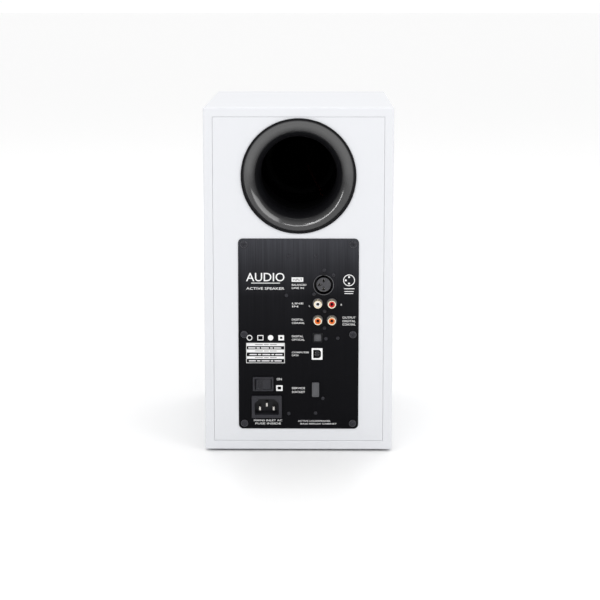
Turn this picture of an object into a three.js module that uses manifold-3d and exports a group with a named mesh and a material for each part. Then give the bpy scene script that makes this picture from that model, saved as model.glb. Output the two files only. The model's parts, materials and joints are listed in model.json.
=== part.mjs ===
// Compact active two-way bookshelf loudspeaker: a white lacquered cabinet with a cone woofer and a dome
// tweeter on the front board, and a flared bass port and a black amplifier module on the rear board.
//
// Millimetres, +Z up. The front faces -Y, the amplifier faces +Y. The origin is the middle of the whole
// loudspeaker, on the surface that its feet stand on.
//
// Two frames repeat. A "front" frame starts on the front board's outer face, with x to the right, z up and y
// going into the cabinet. A "rear" frame is the same, turned round to start on the rear board's outer face.

import * as THREE from "three";
import { mergeVertices } from "three/addons/utils/BufferGeometryUtils.js";
import Module from "manifold-3d";

const wasm = await Module();
wasm.setup();

// ---------------------------------------------------------------- driving dimensions

const CABINET = { width: 190, height: 348, depth: 280, wall: 16, lip: 9.3, edge: 1.5 };
const FRONT_BOARD = 19;
const REAR_BOARD = 16;
const BRACE = { thickness: 12, behind: 81, fromBottom: 206, rim: 24, corner: 20 };
const FELT = { thickness: 12, length: 120, height: 176, fromFront: 80 };
const FOOT = { radius: 9, height: 2, inset: 24 };

const GLUE = 0.1; // thickness of a glue line between two pieces
const FIT = 0.2; // clearance round a piece that drops into its seat
const RUN = 0.3; // clearance between pieces that move past each other

const PORT = { throat: 38.5, flare: 18, wall: 2.2, lip: 1.2, proud: 2, seatWidth: 5.7, neck: 45, overlap: 22 };
const PORT_TUBE = { wall: 2.3, length: 128, bell: 9 };
const PORT_MARGIN = 10.6; // from the edge of the flare to the top of the cabinet

const WOOFER = {
  fromBottom: 120,
  flange: 80, // outer radius of the flange
  flangeThickness: 4,
  seat: 68.8, // radius of the step that holds the surround's rim
  seatDepth: 1.8,
  mouth: 64, // radius of the frame's opening
  cutout: 73, // radius of the hole in the board
  ledge: 39.5, // depth of the ledge that holds the spider
  ledgeRadius: 44,
  depth: 52, // depth of the frame's back face
  backRadius: 50.5,
  wall: 2.5,
  spokes: 6,
  spokeWidth: 13,
};
const CONE = { edge: 53, edgeDepth: 2.4, neckDepth: 28, paper: 1.2, capRadius: 19.5, capRise: 6.5 };
const ROLL = { paper: 0.8, rim: 4.4 };
const SPIDER = { paper: 0.8, swing: 1.3, ridges: 4, hub: 3 };
const COIL = { radius: 16, former: 0.9, winding: 1.4, windingLength: 11, end: 61 };
const MOTOR = {
  gapIn: 0.7, // from the pole to the coil
  gapOut: 0.7, // from the winding to the top plate
  topPlate: 45,
  topPlateThickness: 5.8,
  magnet: 49,
  magnetBore: 24,
  magnetThickness: 16,
  backPlate: 46,
  backPlateThickness: 6,
  vent: 6,
};
const WOOFER_STROKE = 5;

const TWEETER = {
  fromTop: 76,
  plate: 52,
  plateThickness: 3.8,
  hornMouth: 47,
  hornThroat: 15.8,
  hornDepth: 6.5,
  hubRadius: 39,
  hubDepth: 8.6,
  cutout: 41,
};
const DOME = { radius: 12.6, rise: 4.4, foil: 0.7, rollWidth: 2.6, rimRadius: 19, cloth: 0.6 };
const DOME_COIL = { wall: 0.6, length: 6.4 };
const DOME_MOTOR = { radius: 33, gap: 0.5, magnetThickness: 12.4, backPlate: 4, chamber: 24, chamberDepth: 18 };
const GUARD = { radius: 21, rise: 3.8, sheet: 0.8 };

const AMP = { width: 121, height: 195, thickness: 3, corner: 4.5, belowPort: 5.1, proud: 1, gasket: 0.8 };
const AMP_RIM = 8.5; // width of board that the plate and its gasket cover
const AMP_SCREW = { head: 3.6, headHeight: 1.7, shank: 1.9, length: 16, inset: 5.6 };

// Where each piece sits on the amplifier plate: x to the right as seen from behind, z up from its lower edge.
const XLR_AT = { x: 25.2, z: 148.3 };
const RCA_AT = { x: 26.5, z: 121.2 }; // middle of the four jacks
const RCA_PITCH = { x: 14.1, z: 17 };
const OPTICAL_AT = { x: 19.4, z: 94.2 };
const USB_AT = { x: 18.8, z: 77.6 };
const SERVICE_AT = { x: 17.3, z: 41 };
const SWITCH_AT = { x: -35.8, z: 46.5 };
const INLET_AT = { x: -32.2, z: 22.9 };

const SOCKET_DEPTH = 11.6; // from the rear board's face to the backs of the sockets
const XLR = { bore: 9.3, wall: 0.5, insert: 7.4, floor: 2, contact: 1.35, contactCircle: 4.3, contactDepth: 9 };
const RCA = { sleeve: 4.15, reach: 9.5, flange: 5, flangeHeight: 1.5, shank: 3.7, hole: 1.65, holeDepth: 9 };
const OPTICAL = { side: 9.6, proud: 0.4, mouth: 7.4, mouthDepth: 9.6 };
const SHUTTER = { thickness: 0.8, recess: 0.5, pivotDrop: 0.7 };
const USB = { width: 10.9, height: 11.8, proud: 0.8, mouthWidth: 7.9, mouthHeight: 8.6, bevel: 1.8, depth: 9 };
const USB_TONGUE = { width: 3.2, height: 5.7, recess: 1.4 };
const SERVICE = { width: 5.9, height: 13.2, wall: 0.4, depth: 9, tongue: 1.9 };
const COVER = { width: 7.2, height: 14.7, thickness: 3.6, corner: 1.2, stem: 6.5, stemWidth: 2, stemHeight: 10.8 };
const SWITCH = { width: 21, height: 14.6, rim: 2, body: 1, wall: 0.9, depth: 14, floor: 8 };
const ROCKER = { pivot: 0, reach: 8.3, crown: 3.2, tilt: 10, back: 3, height: 10.4 };
const INLET = { width: 30.7, height: 23.2, rim: 2.6, body: 1.8, depth: 14, mouthWidth: 24.2, mouthHeight: 16.2 };
const INLET_BEVEL = 4.3;
const INLET_FLOOR = 3;
const PIN = { width: 2, height: 4, pitch: 14, earthRise: 4, recess: 2.2, tail: 4 };

const PCB = 1.6;
const INPUT_BOARD = { left: 4, right: 50, bottom: 60, top: 168 };
const AMP_BOARD = { left: -46, right: 46, bottom: 10, belowTop: 11, depth: 34 };
const SPACER = { x: 13.6, z: 16, radius: 3.2, middle: 3.7 };
const HEAT_SINK = { height: 13.5, base: 5, fin: 2.4, fins: 10, web: 3 };
const TRANSFORMER = { width: 36, height: 42, depth: 26, x: -22, z: 84, corner: 3 };
const WIRELESS = { width: 26, height: 18, depth: 3.2, x: 27, z: 150 };

const LEAD_RADIUS = 1.6;
const LEAD_STEPS = 26;
const LEAD_CLEAR = 0.6; // from a lead to what it ends on

// Sides of the round pieces, in multiples of four so that a piece and its seat line up.
const ROUND = { large: 32, medium: 24, small: 16, tiny: 12 };

// ---------------------------------------------------------------- places worked out from the sizes

const PORT_ROLL = PORT.throat + PORT.flare;
const PORT_RIM = PORT_ROLL + PORT.lip;
const PORT_HOLE = PORT_RIM - PORT.seatWidth;
const PORT_FROM_BOTTOM = CABINET.height - PORT_MARGIN - PORT_RIM;
const AMP_FROM_BOTTOM = PORT_FROM_BOTTOM - PORT_RIM - AMP.belowPort - AMP.height;
const TWEETER_FROM_BOTTOM = CABINET.height - TWEETER.fromTop;
const AMP_BOARD_TOP = AMP.height - AMP_BOARD.belowTop;
const BRACE_LENGTH = CABINET.depth - FRONT_BOARD - BRACE.behind;
const ROLL_RADIUS = (WOOFER.mouth - CONE.edge) / 2;
const ROLL_MIDDLE = (WOOFER.mouth + CONE.edge) / 2;
const ROLL_FACE = WOOFER.seatDepth - GLUE;
const FRONT_PROUD = ROLL_RADIUS + ROLL.paper - ROLL_FACE; // how far the surround stands out of the front
const REAR_PROUD = RCA.reach; // how far the jacks stand out of the rear
const FRONT_Y = FRONT_PROUD - (CABINET.depth + FRONT_PROUD + REAR_PROUD) / 2;
const REAR_Y = FRONT_Y + CABINET.depth;
const BOTTOM_Z = FOOT.height + GLUE;
const SEAT = { width: CABINET.width - 2 * CABINET.lip, height: CABINET.height - 2 * CABINET.lip };
const INSIDE = { width: CABINET.width - 2 * CABINET.wall, height: CABINET.height - 2 * CABINET.wall };
const PLATE_OUT = -AMP.proud; // the amplifier plate's outer face, in the rear frame
const PLATE_IN = PLATE_OUT + AMP.thickness;
const PLATE_SEAT = PLATE_IN + AMP.gasket + 2 * GLUE;
const ROCKER_REST = THREE.MathUtils.degToRad(ROCKER.tilt);

// ---------------------------------------------------------------- materials

const paint = (color, roughness, metalness = 0) =>
  new THREE.MeshStandardMaterial({ color, roughness, metalness });
const LACQUER = paint(0xf2f2f4, 0.35);
const MDF = paint(0xb89b74, 0.85);
const FELT_GREY = paint(0x6d6f73, 0.95);
const RUBBER = paint(0x18181a, 0.8);
const PORT_PLASTIC = paint(0x1b1c1e, 0.4);
const CAST_FRAME = paint(0x202124, 0.5, 0.4);
const CONE_METAL = paint(0xb9bcc0, 0.35, 0.8);
const DOME_METAL = paint(0xc9ccd0, 0.25, 0.9);
const COPPER = paint(0xb06a3b, 0.4, 0.8);
const SPIDER_CLOTH = paint(0xc7a24a, 0.9);
const STEEL = paint(0xa5a8ac, 0.4, 0.9);
const FERRITE = paint(0x2b2b2d, 0.7, 0.2);
const ANODISED = paint(0x1a1b1e, 0.4, 0.7);
const BLACK_PLASTIC = paint(0x141416, 0.5);
const BLACK_STEEL = paint(0x26272a, 0.45, 0.7);
const GOLD = paint(0xd9a441, 0.25, 0.95);
const WHITE_PLASTIC = paint(0xeeeeee, 0.5);
const GREY_RUBBER = paint(0x3a3a3e, 0.8);
const SOLDER_MASK = paint(0x1d4a2c, 0.5);
const ALUMINIUM = paint(0xb4b7ba, 0.45, 0.9);
const LEAD_RED = paint(0x7a1518, 0.6);

// ---------------------------------------------------------------- shaping helpers

const v2 = (x, y) => new THREE.Vector2(x, y);

// Points along an arc in a profile, angles in degrees.
function arc(cx, cy, radius, from, to, steps) {
  return Array.from({ length: steps + 1 }, (_, i) => {
    const angle = THREE.MathUtils.degToRad(from + ((to - from) * i) / steps);
    return v2(cx + radius * Math.cos(angle), cy + radius * Math.sin(angle));
  });
}

// A solid of revolution about the y axis, from a closed profile of radius and depth.
function turned(profile, segments) {
  const points = THREE.ShapeUtils.area(profile) < 0 ? [...profile].reverse() : [...profile];
  if (points.some((p) => p.x > 0 && points[0].x > 0)) points.push(points[0].clone());
  return new THREE.LatheGeometry(points, segments);
}

// A profile that starts and ends on the axis, which turned() must not join up.
function turnedOnAxis(profile, segments) {
  const points = THREE.ShapeUtils.area(profile) < 0 ? [...profile].reverse() : profile;
  return new THREE.LatheGeometry(points, segments);
}

const block = ([x0, x1], [y0, y1], [z0, z1]) =>
  new THREE.BoxGeometry(x1 - x0, y1 - y0, z1 - z0).translate((x0 + x1) / 2, (y0 + y1) / 2, (z0 + z1) / 2);

const rod = (radius, [y0, y1], segments, x = 0, z = 0) =>
  new THREE.CylinderGeometry(radius, radius, y1 - y0, segments).translate(x, (y0 + y1) / 2, z);

const centred = (middle, size) => [middle - size / 2, middle + size / 2];

// A board cut to an outline seen from the front, filling y0 to y1.
function board(shape, [y0, y1], curveSegments = 3) {
  const options = { depth: y1 - y0, bevelEnabled: false, curveSegments };
  return new THREE.ExtrudeGeometry(shape, options).rotateX(Math.PI / 2).translate(0, y1, 0);
}

function rectangle(Kind, [x0, x1], [z0, z1], corner = 0) {
  const path = new Kind();
  path.moveTo(x0 + corner, z0);
  path.lineTo(x1 - corner, z0);
  if (corner) path.absarc(x1 - corner, z0 + corner, corner, -Math.PI / 2, 0);
  path.lineTo(x1, z1 - corner);
  if (corner) path.absarc(x1 - corner, z1 - corner, corner, 0, Math.PI / 2);
  path.lineTo(x0 + corner, z1);
  if (corner) path.absarc(x0 + corner, z1 - corner, corner, Math.PI / 2, Math.PI);
  path.lineTo(x0, z0 + corner);
  if (corner) path.absarc(x0 + corner, z0 + corner, corner, Math.PI, Math.PI * 1.5);
  return path;
}

const circlePath = (x, z, radius, sides) =>
  new THREE.Path(
    Array.from({ length: sides }, (_, i) => {
      const angle = (-2 * Math.PI * i) / sides;
      return v2(x + radius * Math.cos(angle), z + radius * Math.sin(angle));
    }),
  );

const polygonPath = (Kind, points) => new Kind(points.map(([x, z]) => v2(x, z)));

function solidOf(geometry) {
  const bare = geometry.clone();
  bare.deleteAttribute("normal");
  bare.deleteAttribute("uv");
  const merged = mergeVertices(bare, 1e-4);
  const vertProperties = merged.attributes.position.array;
  const triVerts = new Uint32Array(merged.index.array);
  return new wasm.Manifold(new wasm.Mesh({ numProp: 3, vertProperties, triVerts }));
}

function geometryOf(solid) {
  const mesh = solid.getMesh();
  const geometry = new THREE.BufferGeometry();
  geometry.setAttribute("position", new THREE.BufferAttribute(new Float32Array(mesh.vertProperties), 3));
  geometry.setIndex(new THREE.BufferAttribute(new Uint32Array(mesh.triVerts), 1));
  geometry.computeVertexNormals();
  return geometry;
}

const cut = (body, ...tools) =>
  geometryOf(tools.reduce((left, tool) => left.subtract(solidOf(tool)), solidOf(body)));

const join = (...bodies) => geometryOf(bodies.map(solidOf).reduce((whole, body) => whole.add(body)));

const piece = (name, geometry, material, parent) => {
  const mesh = new THREE.Mesh(geometry, material);
  mesh.name = name;
  parent.add(mesh);
  return mesh;
};

function frameAt(x, y, z, parent, turn = 0) {
  const group = new THREE.Group();
  group.position.set(x, y, z);
  group.rotation.z = turn;
  parent.add(group);
  return group;
}

const speaker = new THREE.Group();
const front = frameAt(0, FRONT_Y, BOTTOM_Z, speaker);
const rear = frameAt(0, REAR_Y, BOTTOM_Z, speaker, Math.PI);
const woofer = frameAt(0, 0, WOOFER.fromBottom, front);
const tweeter = frameAt(0, 0, TWEETER_FROM_BOTTOM, front);
const amp = frameAt(0, 0, AMP_FROM_BOTTOM, rear);

// ---------------------------------------------------------------- cabinet

// Four walls folded from one board, open at both ends, with a rebate at each end for a board.
function cabinetWrap() {
  const acrossX = centred(0, CABINET.width);
  const outline = rectangle(THREE.Shape, acrossX, [0, CABINET.height], CABINET.edge);
  const middle = CABINET.height / 2;
  outline.holes.push(rectangle(THREE.Path, centred(0, INSIDE.width), centred(middle, INSIDE.height)));
  const walls = board(outline, [0, CABINET.depth]);
  const rebate = (span) => block(centred(0, SEAT.width), span, centred(middle, SEAT.height));
  const atFront = rebate([-1, FRONT_BOARD + GLUE]);
  const atRear = rebate([CABINET.depth - REAR_BOARD - GLUE, CABINET.depth + 1]);
  piece("cabinet_wrap", cut(walls, atFront, atRear), LACQUER, front);
}

function boardOutline() {
  const acrossZ = centred(CABINET.height / 2, SEAT.height - 2 * GLUE);
  return rectangle(THREE.Shape, centred(0, SEAT.width - 2 * GLUE), acrossZ);
}

function frontBaffle() {
  const outline = boardOutline();
  outline.holes.push(circlePath(0, WOOFER.fromBottom, WOOFER.cutout, ROUND.large));
  outline.holes.push(circlePath(0, TWEETER_FROM_BOTTOM, TWEETER.cutout, ROUND.large));
  const seat = (radius, thickness, z) => rod(radius + FIT, [-1, thickness + GLUE], ROUND.large, 0, z);
  const wooferSeat = seat(WOOFER.flange, WOOFER.flangeThickness, WOOFER.fromBottom);
  const tweeterSeat = seat(TWEETER.plate, TWEETER.plateThickness, TWEETER_FROM_BOTTOM);
  piece("front_baffle", cut(board(outline, [0, FRONT_BOARD]), wooferSeat, tweeterSeat), LACQUER, front);
}

const ampScrewPlaces = [-1, 1].flatMap((side) =>
  [AMP_SCREW.inset, AMP.height / 2, AMP.height - AMP_SCREW.inset].map((z) => ({
    x: side * (AMP.width / 2 - AMP_SCREW.inset),
    z,
  })),
);

function rearBaffle() {
  const outline = boardOutline();
  const opening = centred(0, AMP.width - 2 * AMP_RIM);
  const tall = centred(AMP_FROM_BOTTOM + AMP.height / 2, AMP.height - 2 * AMP_RIM);
  outline.holes.push(rectangle(THREE.Path, opening, tall));
  outline.holes.push(circlePath(0, PORT_FROM_BOTTOM, PORT_HOLE, ROUND.large));
  for (const { x, z } of ampScrewPlaces) {
    outline.holes.push(circlePath(x, z + AMP_FROM_BOTTOM, AMP_SCREW.shank + FIT, ROUND.tiny));
  }
  const seatX = centred(0, AMP.width + 2 * FIT);
  const seatZ = centred(AMP_FROM_BOTTOM + AMP.height / 2, AMP.height + 2 * FIT);
  const seat = board(rectangle(THREE.Shape, seatX, seatZ, AMP.corner), [-1, PLATE_SEAT]);
  piece("rear_baffle", cut(board(outline, [0, REAR_BOARD]), seat), LACQUER, rear);
}

// A shelf across the cabinet with a large window, between the front board and the port.
function cabinetBrace() {
  const across = INSIDE.width - 2 * GLUE;
  const shelf = rectangle(THREE.Shape, centred(0, across), [0, BRACE_LENGTH]);
  const windowX = centred(0, across - 2 * BRACE.rim);
  shelf.holes.push(rectangle(THREE.Path, windowX, [BRACE.rim, BRACE_LENGTH - BRACE.rim], BRACE.corner));
  const options = { depth: BRACE.thickness, bevelEnabled: false, curveSegments: 4 };
  const geometry = new THREE.ExtrudeGeometry(shelf, options);
  piece("cabinet_brace", geometry, MDF, frameAt(0, FRONT_BOARD + GLUE, BRACE.fromBottom, front));
}

// One strip of felt bent into a U, lining the side walls and the floor.
function dampingFelt() {
  const half = INSIDE.width / 2 - GLUE;
  const floor = CABINET.wall + GLUE;
  const inner = half - FELT.thickness;
  const outline = polygonPath(THREE.Shape, [
    [-half, floor],
    [half, floor],
    [half, floor + FELT.height],
    [inner, floor + FELT.height],
    [inner, floor + FELT.thickness],
    [-inner, floor + FELT.thickness],
    [-inner, floor + FELT.height],
    [-half, floor + FELT.height],
  ]);
  piece("damping_felt", board(outline, [FELT.fromFront, FELT.fromFront + FELT.length]), FELT_GREY, front);
}

function feet() {
  const x = CABINET.width / 2 - FOOT.inset;
  const y = CABINET.depth / 2 - FOOT.inset;
  for (const [side, sx] of [["left", -1], ["right", 1]]) {
    for (const [end, sy] of [["front", -1], ["rear", 1]]) {
      const disc = new THREE.CylinderGeometry(FOOT.radius, FOOT.radius, FOOT.height, ROUND.small).rotateX(Math.PI / 2);
      const foot = piece(`foot_${end}_${side}`, disc, RUBBER, speaker);
      foot.position.set(sx * x, (FRONT_Y + REAR_Y) / 2 + sy * y, FOOT.height / 2);
    }
  }
}

// ---------------------------------------------------------------- bass port

// A trumpet whose rolled edge stands on the rear board, with a neck that the tube slides over.
function portFlare() {
  const middle = PORT.flare - PORT.proud;
  const neck = PORT.throat + PORT.wall;
  const bodyRadius = PORT_HOLE - FIT;
  const shell = PORT.flare - PORT.wall;
  const start = THREE.MathUtils.radToDeg(Math.acos((PORT_ROLL - bodyRadius) / shell));
  const profile = [
    v2(neck, PORT.neck),
    v2(PORT.throat, PORT.neck),
    ...arc(PORT_ROLL, middle, PORT.flare, 180, 270, 6),
    ...arc(PORT_ROLL, PORT.lip - PORT.proud, PORT.lip, 300, 360, 2),
    v2(PORT_RIM, -GLUE),
    v2(bodyRadius, -GLUE),
    ...arc(PORT_ROLL, middle, shell, 180 + start, 180, 3),
  ];
  piece("port_flare", turned(profile, ROUND.large), PORT_PLASTIC, frameAt(0, 0, PORT_FROM_BOTTOM, rear));
}

function portTube() {
  const inner = PORT.throat + PORT.wall + FIT;
  const outer = inner + PORT_TUBE.wall;
  const bell = PORT_TUBE.bell;
  const profile = [
    v2(inner, PORT.overlap),
    ...arc(inner + bell, PORT_TUBE.length - bell, bell, 180, 105, 2),
    ...arc(inner + bell, PORT_TUBE.length - bell, bell - PORT_TUBE.wall, 105, 180, 2),
    v2(outer, PORT.overlap),
  ];
  piece("port_tube", turned(profile, ROUND.large), PORT_PLASTIC, frameAt(0, 0, PORT_FROM_BOTTOM, rear));
}

// ---------------------------------------------------------------- woofer

function wooferBasket() {
  const { wall, ledge, mouth, seat, seatDepth, flangeThickness, backRadius, depth } = WOOFER;
  const shoulder = WOOFER.cutout - 1;
  const waist = backRadius + 2;
  const coilHole = COIL.radius + COIL.former + COIL.winding + MOTOR.gapOut + 1;
  const shell = turned(
    [
      v2(WOOFER.flange, 0),
      v2(WOOFER.flange, flangeThickness),
      v2(shoulder, flangeThickness),
      v2(waist, ledge - 1),
      v2(backRadius, depth),
      v2(coilHole, depth),
      v2(coilHole, depth - wall),
      v2(backRadius - wall, depth - wall),
      v2(waist - wall - 1, ledge + 2),
      v2(WOOFER.ledgeRadius, ledge + 2),
      v2(WOOFER.ledgeRadius, ledge),
      v2(waist - wall, ledge),
      v2(shoulder - wall - 1, flangeThickness + 2),
      v2(mouth, flangeThickness),
      v2(mouth, seatDepth),
      v2(seat, seatDepth),
      v2(seat, 0),
    ],
    ROUND.large,
  );
  const windowFront = flangeThickness + 5;
  const windowBack = ledge - 4;
  const inner = waist - 12;
  const windows = Array.from({ length: WOOFER.spokes }, (_, i) => {
    const half = Math.PI / WOOFER.spokes;
    const spoke = WOOFER.spokeWidth / 2;
    const near = [inner * Math.tan(half) - spoke, inner];
    const far = [90 * Math.tan(half) - spoke, 90];
    const wedge = polygonPath(THREE.Shape, [[-near[0], near[1]], [near[0], near[1]], far, [-far[0], far[1]]]);
    return board(wedge, [windowFront, windowBack]).rotateY(2 * half * (i + 0.5));
  });
  piece("woofer_basket", cut(shell, ...windows), CAST_FRAME, woofer);
}

// A half-roll of rubber between the frame's step and the cone's edge.
function wooferSurround() {
  const under = ROLL_FACE - ROLL.paper;
  const profile = [
    v2(WOOFER.seat - FIT, ROLL_FACE),
    ...arc(ROLL_MIDDLE, ROLL_FACE, ROLL_RADIUS, 0, -180, 4),
    v2(CONE.edge - ROLL.rim, ROLL_FACE),
    v2(CONE.edge - ROLL.rim, under),
    ...arc(ROLL_MIDDLE, under + ROLL.paper, ROLL_RADIUS + ROLL.paper, -172, -8, 4),
    v2(WOOFER.seat - FIT, under),
  ];
  piece("woofer_surround", turned(profile, ROUND.large), RUBBER, woofer);
}

const CONE_NECK = COIL.radius + COIL.former + GLUE;
const coneSlope = (CONE.neckDepth - CONE.edgeDepth) / (CONE.edge - CONE_NECK);
const coneFace = (radius) => CONE.neckDepth - coneSlope * (radius - CONE_NECK);

function wooferCone() {
  const lean = CONE.paper * Math.hypot(1, coneSlope);
  const rim = CONE.edge - ROLL.rim;
  const profile = [
    v2(CONE_NECK, coneFace(CONE_NECK)),
    v2(rim, CONE.edgeDepth),
    v2(CONE.edge, CONE.edgeDepth),
    v2(CONE.edge, CONE.edgeDepth + CONE.paper),
    v2(rim, CONE.edgeDepth + lean),
    v2(CONE_NECK, coneFace(CONE_NECK) + lean),
  ];
  piece("woofer_cone", turned(profile, ROUND.large), CONE_METAL, woofer);
}

function capProfile(radius, rise, sheet, base, steps) {
  const bend = (radius * radius + rise * rise) / (2 * rise);
  const half = THREE.MathUtils.radToDeg(Math.asin(radius / bend));
  const centre = base - rise + bend;
  return [
    ...arc(0, centre, bend, -90, -90 + half, steps),
    ...arc(0, centre, bend - sheet, -90 + half, -90, steps),
  ];
}

function wooferDustCap() {
  const rim = CONE.edge - ROLL.rim;
  const slope = (CONE.neckDepth - CONE.edgeDepth) / (rim - CONE_NECK);
  const base = CONE.neckDepth - slope * (CONE.capRadius - CONE_NECK) - FIT - CONE.paper;
  const profile = capProfile(CONE.capRadius, CONE.capRise, CONE.paper, base, 4);
  piece("woofer_dust_cap", turnedOnAxis(profile, ROUND.medium), CONE_METAL, woofer);
}

function wooferVoiceCoil() {
  const outside = COIL.radius + COIL.former;
  const profile = [
    v2(COIL.radius, CONE.neckDepth),
    v2(outside, CONE.neckDepth),
    v2(outside, COIL.end - COIL.windingLength),
    v2(COIL.radius + COIL.winding, COIL.end - COIL.windingLength),
    v2(COIL.radius + COIL.winding, COIL.end),
    v2(COIL.radius, COIL.end),
  ];
  piece("woofer_voice_coil", turned(profile, ROUND.medium), COPPER, woofer);
}

// Corrugated cloth that centres the coil, from the former to the frame's ledge.
function wooferSpider() {
  const hub = COIL.radius + COIL.former + GLUE;
  const first = hub + SPIDER.hub;
  const last = WOOFER.ledgeRadius - 1;
  const rim = WOOFER.backRadius + 2 - WOOFER.wall - FIT;
  const middle = WOOFER.ledge - GLUE - SPIDER.paper / 2;
  const steps = SPIDER.ridges * 2;
  const wave = Array.from({ length: steps + 1 }, (_, i) => {
    const share = i / steps;
    const lift = (i % 2 ? SPIDER.swing : -SPIDER.swing);
    return v2(first + (last - first) * share, middle + lift);
  });
  const line = [v2(hub, middle), ...wave, v2(rim, middle)];
  const shifted = (offset) => line.map((p) => v2(p.x, p.y + offset));
  const profile = [...shifted(-SPIDER.paper / 2), ...shifted(SPIDER.paper / 2).reverse()];
  piece("woofer_spider", turned(profile, ROUND.medium), SPIDER_CLOTH, woofer);
}

function wooferMotor() {
  const gap = COIL.radius + COIL.winding + MOTOR.gapOut;
  const pole = COIL.radius - MOTOR.gapIn;
  const top = WOOFER.depth + GLUE;
  const magnetTop = top + MOTOR.topPlateThickness + GLUE;
  const backTop = magnetTop + MOTOR.magnetThickness + GLUE;
  const back = backTop + MOTOR.backPlateThickness;
  const ring = (inner, outer, y0, y1) => [v2(inner, y0), v2(outer, y0), v2(outer, y1), v2(inner, y1)];
  const topPlate = ring(gap, MOTOR.topPlate, top, top + MOTOR.topPlateThickness);
  const magnet = ring(MOTOR.magnetBore, MOTOR.magnet, magnetTop, magnetTop + MOTOR.magnetThickness);
  piece("woofer_top_plate", turned(topPlate, ROUND.large), STEEL, woofer);
  piece("woofer_magnet", turned(magnet, ROUND.large), FERRITE, woofer);
  const yoke = [
    v2(MOTOR.vent, top),
    v2(pole, top),
    v2(pole, backTop),
    v2(MOTOR.backPlate, backTop),
    v2(MOTOR.backPlate, back),
    v2(MOTOR.vent, back),
  ];
  piece("woofer_back_plate", turned(yoke, ROUND.large), STEEL, woofer);
}

// ---------------------------------------------------------------- tweeter

// Face plate with a shallow horn round the dome.
function tweeterFaceplate() {
  const { plate, plateThickness, hornMouth, hornThroat, hornDepth, hubRadius, hubDepth } = TWEETER;
  const horn = Array.from({ length: 5 }, (_, i) => {
    const share = i / 4;
    return v2(hornThroat + (hornMouth - hornThroat) * share, hornDepth * (1 - share) ** 1.7);
  });
  const profile = [
    v2(hornThroat, hubDepth),
    ...horn,
    v2(plate - 0.5, 0),
    v2(plate, 0.5),
    v2(plate, plateThickness),
    v2(hubRadius, plateThickness),
    v2(hubRadius, hubDepth),
  ];
  piece("tweeter_faceplate", turned(profile, ROUND.large), BLACK_PLASTIC, tweeter);
}

function tweeterDomeUnit() {
  const rimFace = TWEETER.hubDepth + GLUE;
  const domeBase = rimFace + DOME.cloth - GLUE;
  const dome = capProfile(DOME.radius, DOME.rise, DOME.foil, domeBase, 4);
  piece("tweeter_dome", turnedOnAxis(dome, ROUND.medium), DOME_METAL, tweeter);

  const rollInner = DOME.radius + GLUE * 2;
  const half = (TWEETER.hornThroat - FIT - rollInner) / 2;
  const middle = rollInner + half;
  const surround = [
    ...arc(middle, rimFace, half, -180, 0, 3),
    v2(DOME.rimRadius, rimFace),
    v2(DOME.rimRadius, rimFace + DOME.cloth),
    v2(middle + half - DOME.cloth, rimFace + DOME.cloth),
    ...arc(middle, rimFace + DOME.cloth, half - DOME.cloth, 0, -180, 3),
    v2(rollInner, rimFace + DOME.cloth),
  ];
  piece("tweeter_surround", turned(surround, ROUND.medium), RUBBER, tweeter);

  const outside = DOME.radius - GLUE;
  const coil = [domeBase + DOME.foil + GLUE, domeBase + DOME_COIL.length].flatMap((y, i) => {
    const ends = [v2(outside - DOME_COIL.wall, y), v2(outside, y)];
    return i ? ends.reverse() : ends;
  });
  piece("tweeter_voice_coil", turned(coil, ROUND.medium), COPPER, tweeter);
}

function tweeterMotor() {
  const top = TWEETER.hubDepth + DOME.cloth + 4 * GLUE;
  const magnetBack = top + DOME_MOTOR.magnetThickness;
  const gap = DOME.radius - GLUE + DOME_MOTOR.gap;
  const pole = DOME.radius - GLUE - DOME_COIL.wall - DOME_MOTOR.gap;
  const magnet = [v2(gap, top), v2(DOME_MOTOR.radius, top), v2(DOME_MOTOR.radius, magnetBack), v2(gap, magnetBack)];
  piece("tweeter_magnet", turned(magnet, ROUND.medium), FERRITE, tweeter);

  const plateTop = magnetBack + GLUE;
  const plateBack = plateTop + DOME_MOTOR.backPlate;
  const cup = [
    v2(0, top + GLUE),
    v2(pole, top + GLUE),
    v2(pole, plateTop),
    v2(DOME_MOTOR.radius, plateTop),
    v2(DOME_MOTOR.radius, plateBack),
    v2(DOME_MOTOR.chamber, plateBack),
    v2(DOME_MOTOR.chamber, plateBack + DOME_MOTOR.chamberDepth),
    v2(0, plateBack + DOME_MOTOR.chamberDepth),
  ];
  piece("tweeter_back_cup", turnedOnAxis(cup, ROUND.medium), STEEL, tweeter);
}

// A shallow metal cap over the dome, standing on the horn.
function tweeterGuard() {
  const share = (GUARD.radius - TWEETER.hornThroat) / (TWEETER.hornMouth - TWEETER.hornThroat);
  const base = TWEETER.hornDepth * (1 - share) ** 1.7 - GUARD.sheet;
  const profile = capProfile(GUARD.radius, GUARD.rise, GUARD.sheet, base, 4);
  piece("tweeter_guard", turnedOnAxis(profile, ROUND.medium), BLACK_STEEL, tweeter);
}

// ---------------------------------------------------------------- amplifier module

const holeFor = (at, width, height) =>
  rectangle(THREE.Path, centred(at.x, width + 2 * FIT), centred(at.z, height + 2 * FIT));

const rcaPlaces = ["coax_in", "coax_out", "line_left", "line_right"].map((name, i) => ({
  name: `rca_jack_${name}`,
  x: RCA_AT.x + RCA_PITCH.x * ((i % 2) - 0.5),
  z: RCA_AT.z + RCA_PITCH.z * (Math.floor(i / 2) - 0.5),
}));

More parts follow.
